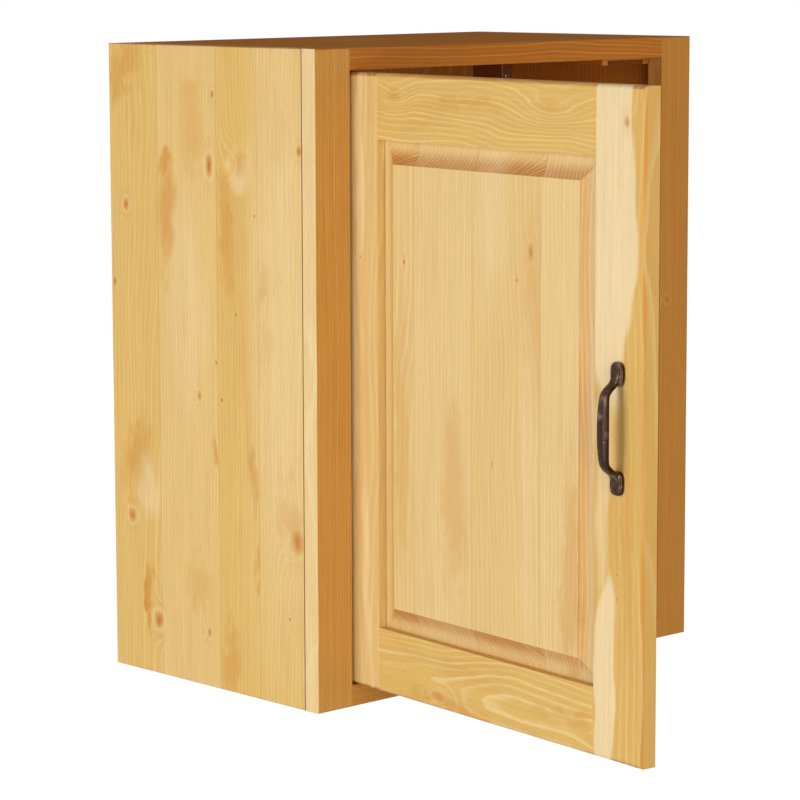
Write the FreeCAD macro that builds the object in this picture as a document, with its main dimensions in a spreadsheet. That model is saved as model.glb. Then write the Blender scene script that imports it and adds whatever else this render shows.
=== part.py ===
import FreeCAD, Part

# Corner wall cabinet: a solid-wood carcass behind a face frame, with one inset raised-panel
# door on two concealed hinges, two shelves on pins and two hooks that hang it on a wall.
#
# Frame of the part: +X to the right as seen from the room, +Y towards the wall, +Z up.
# The origin is on the wall, midway between the two hooks, level with their bearing edges.
# All lengths are in millimetres and all angles in degrees.

import math
import os
import re

# ---------------------------------------------------------------- driving dimensions

SIZES = {
    # overall
    "width": (600, "outer width"),
    "height": (720, "outer height"),
    "depth": (350, "wall to the front of the face frame"),
    # carcass
    "side_thick": (21, "side panels"),
    "board_thick": (21, "top and bottom boards"),
    "back_thick": (5, "back panel"),
    "wall_space": (19, "wall to the back panel, where the wall rail goes"),
    "back_groove": (6, "depth of the grooves that hold the back panel"),
    "groove_fit": (0.15, "play of a panel or tongue on each side of its groove"),
    "carcass_round": (1, "rounding of the carcass's outer edges"),
    # face frame
    "frame_thick": (21, "face frame, front to back"),
    "stile_wide": (50, "stiles of the face frame"),
    "rail_tall": (24, "rails of the face frame"),
    "frame_round": (1.5, "rounding of the face frame's outer edges"),
    # dowels
    "dowel_radius": (4, "wooden dowels"),
    "dowel_fit": (0.1, "glue gap round a dowel and past its ends"),
    "dowel_in_board": (18, "dowel in the end of a board"),
    "dowel_in_side": (12, "dowel in the face of a side panel"),
    "dowel_in_rail": (20, "dowel in the end of a frame rail, and as deep in the stile"),
    "dowel_in_frame": (11, "dowel in the back of a frame stile, and as deep in the panel"),
    "dowel_margin": (60, "outermost dowel from the front or back edge"),
    "frame_dowel_margin": (110, "outermost dowel from the top or bottom of the stile"),
    # door
    "door_thick": (20, "door"),
    "door_side_gap": (3.5, "door to stile, each side"),
    "door_end_gap": (2, "door to rail, top and bottom"),
    "door_stile_wide": (71, "stiles of the door"),
    "door_rail_tall": (70, "rails of the door"),
    "door_round": (4, "rounding of the door's front edges"),
    "door_back_round": (1.5, "rounding of the door's back edges"),
    "tongue_thick": (5, "edge of the door panel, and tongues of the door rails"),
    "tongue_from_face": (10, "front of the door to the front of the tongue"),
    "tongue_groove": (12, "depth of the groove round the door frame"),
    "tongue_play": (1, "tongue or panel edge to the bottom of its groove"),
    "field_inset": (1, "raised field behind the front of the door"),
    "cove_wide": (25, "cove round the raised field"),
    "cove_step": (1.2, "small step between the field and its cove"),
    "door_angle": (96, "angle at which the door stands open"),
    # shelves
    "shelf_thick": (18, "shelves"),
    "shelf_setback": (30, "face frame to the front of a shelf"),
    "shelf_play": (1, "shelf to each side panel"),
    "shelf_back_play": (2, "shelf to the back panel"),
    "shelf_round": (1.5, "rounding of a shelf's front edges"),
    "pin_radius": (2.5, "shelf pins"),
    "pin_fit": (0.1, "play round a shelf pin"),
    "pin_in_side": (10, "shelf pin in the side panel"),
    "pin_under_shelf": (9, "shelf pin under the shelf"),
    "pin_collar_radius": (4.5, "collar of a shelf pin"),
    "pin_collar_thick": (0.8, "collar of a shelf pin, thinner than the shelf's play"),
    "pin_pitch": (32, "shelf pin holes, centre to centre"),
    "pin_first_height": (176, "lowest shelf pin holes above the underside"),
    "pin_margin": (20, "highest shelf pin holes to the upper hinge block, at least"),
    "lower_shelf_row": (2, "row of holes that carries the lower shelf, counted from 0"),
    "shelf_headroom": (40, "top of the upper shelf to the upper hinge block, at least"),
    "pin_from_edge": (37, "shelf pin holes from the front or back edge of a shelf"),
    # hinges
    "pivot_from_edge": (12.4, "hinge pin to the hinge edge of the door"),
    "pivot_from_face": (11.85, "hinge pin to the front of the door"),
    "hinge_from_end": (100, "hinge to the top or bottom of the door"),
    "hinge_pin_radius": (1.5, "hinge pin"),
    "hinge_pin_fit": (0.05, "play of the arm on the pin"),
    "cup_radius": (17.5, "hinge cup"),
    "cup_deep": (12, "hinge cup in the door"),
    "cup_wall": (1.5, "wall of the hinge cup"),
    "cup_floor": (0.8, "floor of the hinge cup"),
    "cup_fit": (0.1, "hinge cup to its bore in the door"),
    "cup_from_edge": (22.5, "centre of the cup to the hinge edge of the door"),
    "flange_thick": (1.2, "flange of the hinge cup"),
    "flange_wide": (22, "flange of the hinge cup, across the door"),
    "flange_tall": (62, "flange of the hinge cup, along the door"),
    "flange_offset": (6, "centre of the flange and its screws beyond the cup's centre"),
    "cup_screw_spacing": (48, "screws of the hinge cup, centre to centre"),
    "arm_wide": (12, "hinge arm, along the hinge axis"),
    "arm_thick": (2.4, "sheet of the hinge arm"),
    "arm_knuckle_radius": (2.7, "eye of the hinge arm round its pin"),
    "arm_reach": (15, "pin to the bend that leads the arm out of the cup"),
    "arm_rise": (20, "pin to the arm's cross leg behind the door edge"),
    "arm_length": (66, "pin to the back end of the arm"),
    "arm_bend": (3, "bends of the arm, at the middle of the sheet"),
    "plate_thick": (2.4, "mounting plate of a hinge"),
    "plate_long": (42, "mounting plate, front to back"),
    "plate_tall": (17, "mounting plate, middle bar"),
    "wing_long": (13, "mounting plate, wings front to back"),
    "wing_tall": (46, "mounting plate over both wings"),
    "plate_setback": (36, "face frame's front to the front of the mounting plate"),
    "plate_screw_spacing": (32, "wing screws, centre to centre"),
    "block_deep": (60, "hinge block, front to back"),
    "block_tall": (90, "hinge block"),
    "block_screw_spacing": (62, "screws that hold a hinge block to the side panel"),
    # screws
    "screw_radius": (1.75, "wood screws"),
    "screw_head_radius": (3.5, "countersunk heads"),
    "screw_head_tall": (2, "countersunk heads"),
    "screw_fit": (0.1, "play round a screw"),
    "cup_screw_long": (13, "hinge cup screws"),
    "plate_screw_long": (18, "mounting plate screws"),
    "block_screw_long": (40, "hinge block screws"),
    "hanger_screw_long": (28, "hanger screws"),
    "stop_screw_long": (24, "door stop screws"),
    "arm_screw_radius": (2.2, "arm screws"),
    "arm_screw_head_radius": (4, "heads of the arm screws"),
    "arm_screw_head_tall": (2.4, "heads of the arm screws"),
    # hangers
    "hanger_thick": (17, "hanger housing, from the side panel inwards"),
    "hanger_deep": (52, "hanger housing, front to back"),
    "hanger_tall": (58, "hanger housing"),
    "hanger_drop": (3, "top board to the hanger housing"),
    "hanger_round": (2, "rounding of the hanger housing"),
    "hook_drop": (16, "top of the hanger housing to the bearing edge of its hook"),
    "hook_wide": (12, "hook, across"),
    "hook_thick": (3, "hook sheet"),
    "hook_from_wall": (5, "tip of the hook to the wall"),
    "hook_lip": (12, "lip of the hook below its bearing edge"),
    "hook_in_housing": (30, "shank of the hook inside its housing"),
    "hook_fit": (0.3, "play round the hook"),
    "adjuster_radius": (4, "adjusting screws of a hanger"),
    "adjuster_stand": (1.5, "adjusting screws stand out of the housing"),
    "adjuster_deep": (10, "adjusting screws in the housing"),
    "adjuster_spacing": (22, "adjusting screws, centre to centre"),
    # door stop
    "stop_wide": (79, "door stop block, across"),
    "stop_deep": (40, "door stop block, front to back"),
    "stop_drop": (10.5, "door stop block below the top board"),
    "stop_from_side": (30, "door stop block to the right side panel"),
    "stop_pad_thick": (0.7, "felt pad of the door stop"),
    "stop_pad_wide": (60, "felt pad, across"),
    "stop_pad_tall": (5, "felt pad"),
    "stop_clearance": (0.3, "closed door to the felt pad"),
    # handle
    "handle_from_edge": (35.5, "middle of the handle to the free edge of the door"),
    "handle_long": (132, "handle over both feet"),
    "foot_long": (24.5, "foot of the handle, along the handle"),
    "foot_wide": (18, "foot of the handle, across"),
    "foot_thick": (4.8, "foot of the handle"),
    "handle_screw_spacing": (96, "handle screws, centre to centre"),
    "bow_height": (20.6, "door to the middle of the grip"),
    "grip_wide": (12.5, "grip at its middle, across"),
    "grip_thick": (7, "grip at its middle"),
    "neck_wide": (8.5, "grip where it bends to a foot"),
    "neck_thick": (6.2, "neck of the handle"),
    "handle_screw_radius": (2, "handle screws"),
    "handle_screw_head_radius": (4, "heads of the handle screws"),
    "handle_screw_head_tall": (2.2, "heads of the handle screws"),
    "handle_screw_in_foot": (8, "handle screws in the handle"),
}

doc = FreeCAD.newDocument("corner_wall_cabinet")
sheet = doc.addObject("Spreadsheet::Sheet", "Sizes")
for row, (alias, (value, note)) in enumerate(SIZES.items(), start=1):
    sheet.set(f"A{row}", alias)
    sheet.set(f"B{row}", str(value))
    sheet.set(f"C{row}", note)
    sheet.setAlias(f"B{row}", alias)
doc.recompute()


def size(alias):
    """The number that the sheet holds for one alias."""
    return float(sheet.get(alias))


def formula(text):
    """Turn a formula in plain alias names into one that reads the sheet."""
    def spell(word):
        return f"Sizes.{word.group()}" if word.group() in SIZES else word.group()

    return re.sub(r"[a-z][a-z_]+", spell, text)


def number(text):
    """Work out a formula in plain alias names from the sheet."""
    return float(sheet.evalExpression(formula(text)))


def bind(obj, **fields):
    """Bind properties of an object to formulas. A double underscore stands for a dot."""
    for name, text in fields.items():
        obj.setExpression(name.replace("__", "."), formula(text))


# ---------------------------------------------------------------- places, as formulas

# Cabinet frame: middle of the wall side of the underside, so that z counts from the underside.
FRONT = "-depth"
FRAME_BACK = "(-depth + frame_thick)"
BACK_FACE = "(-wall_space - back_thick)"
INSIDE = "(width / 2 - side_thick)"
OPENING = "(width / 2 - stile_wide)"
CARCASS_DEEP = "(depth - frame_thick)"

# Dowel joints.
DOWEL_SPACE = "dowel_radius + dowel_fit"
BOARD_MIDDLES = {"bottom": "board_thick / 2", "top": "height - board_thick / 2"}
SIDE_BORES = f"({FRAME_BACK} + dowel_margin)"
BORES_APART = f"({CARCASS_DEEP} - 2 * dowel_margin)"
RAIL_MIDDLES = ("rail_tall / 2", "height - rail_tall / 2")
RAIL_BORE_Y = f"({FRAME_BACK} - frame_thick / 2)"
FRAME_BORE_X = "(width / 2 - side_thick / 2)"
FRAME_BORES_APART = "(height - 2 * frame_dowel_margin)"

# Hinges.
HINGE_HEIGHTS = {"lower": "(rail_tall + door_end_gap + hinge_from_end)",
                 "upper": "(height - rail_tall - door_end_gap - hinge_from_end)"}
PLATE_SCREW_Y = f"({FRONT} + plate_setback + plate_long / 2)"
BLOCK_SCREW_Y = f"({FRAME_BACK} + block_deep - plate_long / 4)"
UPPER_BLOCK_UNDER = f"({HINGE_HEIGHTS['upper']} - block_tall / 2)"

# Shelves. The holes and the upper shelf go as high as the upper hinge block lets them.
SHELF_FRONT = f"({FRAME_BACK} + shelf_setback)"
SHELF_BACK = f"({BACK_FACE} - shelf_back_play)"
PIN_COLUMNS = {"front": f"{SHELF_FRONT} + pin_from_edge", "rear": f"{SHELF_BACK} - pin_from_edge"}
PIN_GAPS = f"floor(({UPPER_BLOCK_UNDER} - pin_margin - pin_first_height) / pin_pitch)"
SHELF_SPACE = f"({UPPER_BLOCK_UNDER} - shelf_headroom - shelf_thick - pin_radius)"
SHELF_ROWS = {"lower": "lower_shelf_row",
              "upper": f"floor(({SHELF_SPACE} - pin_first_height) / pin_pitch)"}

# Hangers. The cabinet stands so that the bearing edges of its hooks are at height 0.
HANGER_TOP = "(height - board_thick - hanger_drop)"
HOOK_HEIGHT = f"({HANGER_TOP} - hook_drop)"
HOOK_TOP = f"({HOOK_HEIGHT} + hook_thick)"
HOOK_X = f"({INSIDE} - hanger_thick / 2)"
HANGER_SCREW_Y = f"({BACK_FACE} - hanger_deep * 3 / 4)"
HANGER_SCREWS = (f"({HANGER_TOP} - hanger_tall / 5)", f"({HANGER_TOP} - hanger_tall * 4 / 5)")
ADJUSTER_HEIGHTS = (f"({HANGER_TOP} - hanger_tall / 2)",
                    f"({HANGER_TOP} - hanger_tall / 2 - adjuster_spacing)")

# Door frame: on the hinge axis, level with the underside, with the door closed.
PIVOT_X = "(-width / 2 + stile_wide + door_side_gap + pivot_from_edge)"
PIVOT_Y = "(-depth + pivot_from_face)"
DOOR_WIDE = "(width - 2 * stile_wide - 2 * door_side_gap)"
DOOR_LEFT = "(-pivot_from_edge)"
DOOR_RIGHT = f"({DOOR_WIDE} - pivot_from_edge)"
DOOR_FRONT = "(-pivot_from_face)"
DOOR_BACK = "(door_thick - pivot_from_face)"
DOOR_LOW = "(rail_tall + door_end_gap)"
DOOR_HIGH = "(height - rail_tall - door_end_gap)"
TONGUE_FRONT = f"({DOOR_FRONT} + tongue_from_face)"
PANEL_LEFT = f"({DOOR_LEFT} + door_stile_wide)"
PANEL_RIGHT = f"({DOOR_RIGHT} - door_stile_wide)"
PANEL_LOW = f"({DOOR_LOW} + door_rail_tall)"
PANEL_HIGH = f"({DOOR_HIGH} - door_rail_tall)"
TONGUE_LONG = "(tongue_groove - tongue_play)"
CUP_X = "(cup_from_edge - pivot_from_edge)"
HANDLE_X = f"({DOOR_RIGHT} - handle_from_edge)"
HANDLE_Z = "(height / 2)"

TURNS = {
    "x": FreeCAD.Rotation(FreeCAD.Vector(0, 1, 0), 90),
    "-x": FreeCAD.Rotation(FreeCAD.Vector(0, 1, 0), -90),
    "y": FreeCAD.Rotation(FreeCAD.Vector(1, 0, 0), -90),
    "-y": FreeCAD.Rotation(FreeCAD.Vector(1, 0, 0), 90),
    "z": FreeCAD.Rotation(),
    "-z": FreeCAD.Rotation(FreeCAD.Vector(1, 0, 0), 180),
}

nodes = []


def seat(obj, label, hung=False):
    """Name a finished sub-part and give it its place, in the cabinet or hung on the door."""
    obj.Label = label
    if hung:
        swing = FreeCAD.Rotation(FreeCAD.Vector(0, 0, -1), size("door_angle"))
        obj.Placement = FreeCAD.Placement(FreeCAD.Vector(), swing)
        bind(obj, Placement__Base__x=PIVOT_X, Placement__Base__y=PIVOT_Y,
             Placement__Rotation__Angle="door_angle")
    bind(obj, Placement__Base__z=f"-{HOOK_HEIGHT}")
    nodes.append(obj)


def place(obj, at, along="z"):
    """Put a primitive at three formulas, with its own +Z turned along an axis."""
    obj.Placement = FreeCAD.Placement(FreeCAD.Vector(), TURNS[along])
    bind(obj, Placement__Base__x=at[0], Placement__Base__y=at[1], Placement__Base__z=at[2])
    return obj


def span_box(obj, low, high):
    """Let a box primitive reach from one corner to the other."""
    bind(obj, Length=f"{high[0]} - ({low[0]})", Width=f"{high[1]} - ({low[1]})",
         Height=f"{high[2]} - ({low[2]})")
    return place(obj, low)


# ---------------------------------------------------------------- boards

class Board:
    """A wooden board as a body: a blank with grooves, bores and rounded edges."""

    def __init__(self, label, low, high, hung=False):
        self.label = label
        self.count = 0
        self.body = doc.addObject("PartDesign::Body", label)
        self.add(low, high)
        seat(self.body, label, hung)

    def feature(self, kind, step):
        """The body's next feature, named for its step."""
        self.count += 1
        return self.body.newObject(f"PartDesign::{kind}", f"{self.label}_{step}_{self.count}")

    def add(self, low, high):
        """Wood from one corner to the other."""
        span_box(self.feature("AdditiveBox", "wood"), low, high)

    def groove(self, low, high):
        """A groove, notch or rebate from one corner to the other."""
        span_box(self.feature("SubtractiveBox", "groove"), low, high)

    def bore(self, radius, length, at, along):
        """A round hole that starts at a point and runs along an axis."""
        made = self.feature("SubtractiveCylinder", "bore")
        bind(made, Radius=radius, Height=length)
        return place(made, at, along)

    def sink(self, at, along):
        """The countersink of a wood screw."""
        made = self.feature("SubtractiveCone", "sink")
        bind(made, Radius1="screw_head_radius + screw_fit", Radius2="screw_radius + screw_fit",
             Height="screw_head_tall")
        place(made, at, along)

    def repeat(self, original, axis, length, occurrences):
        """Repeat a feature in a row along one of the body's axes."""
        row_of = self.feature("LinearPattern", "row")
        row_of.Originals = [original]
        axes = {line.Role: line for line in self.body.Origin.OriginFeatures}
        row_of.Direction = (axes[f"{axis.upper()}_Axis"], [""])
        bind(row_of, Length=length, Occurrences=occurrences)
        self.body.Tip = row_of

    def soften(self, radius, wanted):
        """Round the straight edges whose two ends the test accepts."""
        doc.recompute()
        tip = self.body.Tip
        names = [f"Edge{index}" for index, edge in enumerate(tip.Shape.Edges, start=1)
                 if wanted(edge.Vertexes[0].Point, edge.Vertexes[-1].Point)]
        rounded = self.feature("Fillet", "round")
        rounded.Base = (tip, names)
        bind(rounded, Radius=radius)
        doc.recompute()


def both_at(axis, value):
    """A test for edges that lie at one value of an axis, given as 0, 1 or 2."""
    return lambda start, end: abs(start[axis] - value) < 0.01 and abs(end[axis] - value) < 0.01


def level_run(start, end):
    """True for an edge that keeps its height."""
    return abs(start.z - end.z) < 0.01


def cross_run(start, end):
    """True for an edge that runs across the cabinet or the door."""
    return abs(start.x - end.x) > 1


# ---------------------------------------------------------------- primitives for hardware

def box(name, low, high):
    """A block from one corner to the other."""
    return span_box(doc.addObject("Part::Box", name), low, high)


def rod(name, radius, length, at, along="z"):
    """A round rod that starts at a point and runs along an axis."""
    made = doc.addObject("Part::Cylinder", name)
    bind(made, Radius=radius, Height=length)
    return place(made, at, along)


def cone(name, radius_at_start, radius_at_end, length, at, along="z"):
    """A cone that starts at a point and runs along an axis."""
    made = doc.addObject("Part::Cone", name)
    bind(made, Radius1=radius_at_start, Radius2=radius_at_end, Height=length)
    return place(made, at, along)


def fuse(name, pieces):
    """The pieces as one solid."""
    made = doc.addObject("Part::MultiFuse", name)
    made.Shapes = pieces
    return made


def common(name, pieces):
    """What the pieces have in common."""
    made = doc.addObject("Part::MultiCommon", name)
    made.Shapes = pieces
    return made


def cut(name, base, tools):
    """The base without the tools."""
    made = doc.addObject("Part::Cut", name)
    made.Base = base
    made.Tool = fuse(f"{name}_tools", tools)
    return made


def group(name, pieces):
    """Separate solids that make one sub-part."""
    made = doc.addObject("Part::Compound", name)
    made.Links = pieces
    return made


def wood_screw(name, length, at, along):
    """A countersunk wood screw whose head is flush at the point."""
    shank = rod(f"{name}_shank", "screw_radius", length, at, along)
    head = cone(f"{name}_head", "screw_head_radius", "screw_radius", "screw_head_tall", at, along)
    return fuse(name, [shank, head])


def screw_space(name, length, at, along):
    """The room that a wood screw takes, with its play, to cut out of hardware."""
    shank = rod(f"{name}_shank", "screw_radius + screw_fit", f"{length} + screw_fit", at, along)
    head = cone(f"{name}_head", "screw_head_radius + screw_fit", "screw_radius + screw_fit",
                "screw_head_tall", at, along)
    return fuse(name, [shank, head])


# ---------------------------------------------------------------- carcass

def outward(side, text):
    """The formula for one side of the cabinet: -1 is left and 1 is right."""
    return f"{side} * ({text})"


def span(side, near, far):
    """Two formulas in rising order for a stretch between two distances from the middle."""
    ends = (outward(side, near), outward(side, far))
    return ends if side > 0 else ends[::-1]


def side_panel(label, side):
    """A side panel, grooved for the back panel and bored for dowels, screws and shelf pins."""
    low_x, high_x = span(side, INSIDE, "width / 2")
    panel = Board(label, (low_x, FRAME_BACK, "0"), (high_x, "0", "height"))
    on_outside = both_at(0, side * number("width / 2"))
    at_rear = both_at(1, 0)
    panel.soften("carcass_round", lambda start, end: on_outside(start, end)
                 and (at_rear(start, end) or level_run(start, end)))
    low_x, high_x = span(side, INSIDE, f"{INSIDE} + back_groove")
    panel.groove((low_x, f"{BACK_FACE} - groove_fit", "board_thick - back_groove"),
                 (high_x, "-wall_space + groove_fit", "height - board_thick + back_groove"))
    inwards = "x" if side > 0 else "-x"
    for middle in BOARD_MIDDLES.values():
        bore = panel.bore(DOWEL_SPACE, "dowel_in_side + dowel_fit",
                          (outward(side, INSIDE), SIDE_BORES, middle), inwards)
        panel.repeat(bore, "y", BORES_APART, "3")
    bore = panel.bore(DOWEL_SPACE, "dowel_in_frame + dowel_fit",
                      (outward(side, FRAME_BORE_X), FRAME_BACK, "frame_dowel_margin"), "y")
    panel.repeat(bore, "z", FRAME_BORES_APART, "3")
    for column in PIN_COLUMNS.values():
        bore = panel.bore("pin_radius + pin_fit", "pin_in_side + pin_fit",
                          (outward(side, INSIDE), column, "pin_first_height"), inwards)
        panel.repeat(bore, "z", f"pin_pitch * {PIN_GAPS}", f"{PIN_GAPS} + 1")
    for height in HANGER_SCREWS:
        panel.bore("screw_radius + screw_fit", "hanger_screw_long - hanger_thick + screw_fit",
                   (outward(side, INSIDE), HANGER_SCREW_Y, height), inwards)
    if side < 0:
        for height in HINGE_HEIGHTS.values():
            for shift in ("-1", "1"):
                panel.bore("screw_radius + screw_fit",
                           "block_screw_long - (stile_wide - side_thick) + screw_fit",
                           (outward(side, INSIDE), BLOCK_SCREW_Y,
                            f"{height} + {shift} * block_screw_spacing / 2"), inwards)


def carcass_board(label, low_z, middle, groove_low, groove_high):
    """The top or bottom board, with a groove for the back panel and dowel bores in its ends."""
    board = Board(label, (f"-{INSIDE}", FRAME_BACK, low_z),
                  (INSIDE, "0", f"{low_z} + board_thick"))
    board.groove((f"-{INSIDE}", f"{BACK_FACE} - groove_fit", groove_low),
                 (INSIDE, "-wall_space + groove_fit", groove_high))
    for side in (-1, 1):
        bore = board.bore(DOWEL_SPACE, "dowel_in_board + dowel_fit",
                          (outward(side, INSIDE), SIDE_BORES, middle), "-x" if side > 0 else "x")
        board.repeat(bore, "y", BORES_APART, "3")
    return board


def back_panel():
    """The thin back panel in its grooves, notched where the two hooks pass through."""
    reach = "(back_groove - tongue_play)"
    panel = Board("back_panel",
                  (f"-{INSIDE} - {reach}", BACK_FACE, f"board_thick - {reach}"),
                  (f"{INSIDE} + {reach}", "-wall_space", f"height - board_thick + {reach}"))
    for side in (-1, 1):
        low_x, high_x = span(side, f"{HOOK_X} - hook_wide / 2 - hook_fit",
                             f"{HOOK_X} + hook_wide / 2 + hook_fit")
        panel.groove((low_x, BACK_FACE, f"{HOOK_HEIGHT} - hook_fit"),
                     (high_x, "-wall_space", f"{HOOK_TOP} + hook_fit"))


def frame_stile(label, side):
    """A stile of the face frame, bored for the dowels of the rails and of the side panel."""
    low_x, high_x = span(side, OPENING, "width / 2")
    stile = Board(label, (low_x, FRONT, "0"), (high_x, FRAME_BACK, "height"))
    on_outside = both_at(0, side * number("width / 2"))
    at_front = both_at(1, number(FRONT))
    stile.soften("frame_round", lambda start, end: at_front(start, end)
                 and (on_outside(start, end) or level_run(start, end)))
    for middle in RAIL_MIDDLES:
        stile.bore(DOWEL_SPACE, "dowel_in_rail + dowel_fit",
                   (outward(side, OPENING), RAIL_BORE_Y, middle), "x" if side > 0 else "-x")
    bore = stile.bore(DOWEL_SPACE, "dowel_in_frame + dowel_fit",
                      (outward(side, FRAME_BORE_X), FRAME_BACK, "frame_dowel_margin"), "-y")
    stile.repeat(bore, "z", FRAME_BORES_APART, "3")


def frame_rail(label, low_z, middle):
    """A rail of the face frame between the stiles."""
    rail = Board(label, (f"-{OPENING}", FRONT, low_z), (OPENING, FRAME_BACK, f"{low_z} + rail_tall"))
    at_front = both_at(1, number(FRONT))
    rail.soften("frame_round", lambda start, end: at_front(start, end) and cross_run(start, end))
    for side in (-1, 1):
        rail.bore(DOWEL_SPACE, "dowel_in_rail + dowel_fit",
                  (outward(side, OPENING), RAIL_BORE_Y, middle), "-x" if side > 0 else "x")


def dowels():
    """All dowels: boards to sides, rails to stiles, and the face frame to the carcass."""
    pieces = []
    for side in (-1, 1):
        hand = "left" if side < 0 else "right"
        for name, middle in BOARD_MIDDLES.items():
            for index in range(3):
                pieces.append(rod(f"dowel_{name}_{hand}_{index}", "dowel_radius",
                                  "dowel_in_board + dowel_in_side",
                                  (outward(side, f"{INSIDE} - dowel_in_board"),
                                   f"{SIDE_BORES} + {index} * {BORES_APART} / 2", middle),
                                  "x" if side > 0 else "-x"))
    carcass = group("carcass_dowels_group", pieces)
    pieces = []
    for side in (-1, 1):
        hand = "left" if side < 0 else "right"
        for index, middle in enumerate(RAIL_MIDDLES):
            pieces.append(rod(f"rail_dowel_{hand}_{index}", "dowel_radius", "2 * dowel_in_rail",
                              (outward(side, f"{OPENING} - dowel_in_rail"), RAIL_BORE_Y, middle),
                              "x" if side > 0 else "-x"))
        for index in range(3):
            pieces.append(rod(f"frame_dowel_{hand}_{index}", "dowel_radius", "2 * dowel_in_frame",
                              (outward(side, FRAME_BORE_X), f"{FRAME_BACK} - dowel_in_frame",
                               f"frame_dowel_margin + {index} * {FRAME_BORES_APART} / 2"), "y"))
    frame = group("frame_dowels_group", pieces)
    seat(carcass, "carcass_dowels")
    seat(frame, "frame_dowels")


def shelf(label, row):
    """A shelf that rests on the pins in one row of holes."""
    under = f"(pin_first_height + {row} * pin_pitch + pin_radius)"
    board = Board(label, (f"-{INSIDE} + shelf_play", SHELF_FRONT, under),
                  (f"{INSIDE} - shelf_play", SHELF_BACK, f"{under} + shelf_thick"))
    at_front = both_at(1, number(SHELF_FRONT))
    board.soften("shelf_round", lambda start, end: at_front(start, end) and level_run(start, end))


def shelf_pins():
    """Four pins under each shelf, each with a collar against its side panel."""
    pins = []
    for shelf_name, row in SHELF_ROWS.items():
        for side in (-1, 1):
            for name, column in PIN_COLUMNS.items():
                tag = f"{shelf_name}_{name}_{side + 1}"
                height = f"pin_first_height + {row} * pin_pitch"
                along = "-x" if side > 0 else "x"
                stem = rod(f"stem_{tag}", "pin_radius", "pin_in_side + pin_under_shelf",
                           (outward(side, f"{INSIDE} + pin_in_side"), column, height), along)
                collar = rod(f"collar_{tag}", "pin_collar_radius", "pin_collar_thick",
                             (outward(side, INSIDE), column, height), along)
                pins.append(fuse(f"pin_{tag}", [stem, collar]))
    seat(group("shelf_pins_group", pins), "shelf_pins")


# ---------------------------------------------------------------- hangers and door stop

def hanger(hand, side):
    """A hanger: a plastic housing on the side panel with a steel hook that adjusts in it."""
    low_x, high_x = span(side, f"{INSIDE} - hanger_thick", INSIDE)
    housing = Board(f"{hand}_hanger_housing",
                    (low_x, f"{BACK_FACE} - hanger_deep", f"{HANGER_TOP} - hanger_tall"),
                    (high_x, BACK_FACE, HANGER_TOP))
    inner = side * number(f"{INSIDE} - hanger_thick")
    housing.soften("hanger_round", both_at(0, inner))
    low_x, high_x = span(side, f"{HOOK_X} - hook_wide / 2 - hook_fit",
                         f"{HOOK_X} + hook_wide / 2 + hook_fit")
    housing.groove((low_x, f"{BACK_FACE} - hook_in_housing - hook_fit", f"{HOOK_HEIGHT} - hook_fit"),
                   (high_x, BACK_FACE, f"{HOOK_TOP} + hook_fit"))
    outwards = "x" if side > 0 else "-x"
    for height in HANGER_SCREWS:
        housing.bore("screw_radius + screw_fit", "hanger_thick",
                     (outward(side, f"{INSIDE} - hanger_thick"), HANGER_SCREW_Y, height), outwards)
        housing.sink((outward(side, f"{INSIDE} - hanger_thick"), HANGER_SCREW_Y, height), outwards)
    for height in ADJUSTER_HEIGHTS:
        housing.bore("adjuster_radius + screw_fit", "adjuster_deep + screw_fit",
                     (outward(side, HOOK_X), f"{BACK_FACE} - hanger_deep", height), "y")

    low_x, high_x = span(side, f"{HOOK_X} - hook_wide / 2", f"{HOOK_X} + hook_wide / 2")
    shank = box(f"{hand}_hook_shank",
                (low_x, f"{BACK_FACE} - hook_in_housing", HOOK_HEIGHT),
                (high_x, "-hook_from_wall", HOOK_TOP))
    lip = box(f"{hand}_hook_lip",
              (low_x, "-hook_from_wall - hook_thick", f"{HOOK_HEIGHT} - hook_lip"),
              (high_x, "-hook_from_wall", HOOK_TOP))
    seat(fuse(f"{hand}_hook", [shank, lip]), f"{hand}_hanger_hook")


def hanger_screws():
    """The screws that hold the housings, and those that adjust the hooks."""
    fixing, adjusting = [], []
    for hand, side in (("left", -1), ("right", 1)):
        for index, height in enumerate(HANGER_SCREWS):
            fixing.append(wood_screw(f"{hand}_hanger_screw_{index}", "hanger_screw_long",
                                     (outward(side, f"{INSIDE} - hanger_thick"), HANGER_SCREW_Y,
                                      height), "x" if side > 0 else "-x"))
        for index, height in enumerate(ADJUSTER_HEIGHTS):
            adjusting.append(rod(f"{hand}_adjuster_{index}", "adjuster_radius",
                                 "adjuster_deep + adjuster_stand",
                                 (outward(side, HOOK_X),
                                  f"{BACK_FACE} - hanger_deep - adjuster_stand", height), "y"))
    seat(group("hanger_fixing_group", fixing), "hanger_fixing_screws")
    seat(group("hanger_adjusting_group", adjusting), "hanger_adjusting_screws")


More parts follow.
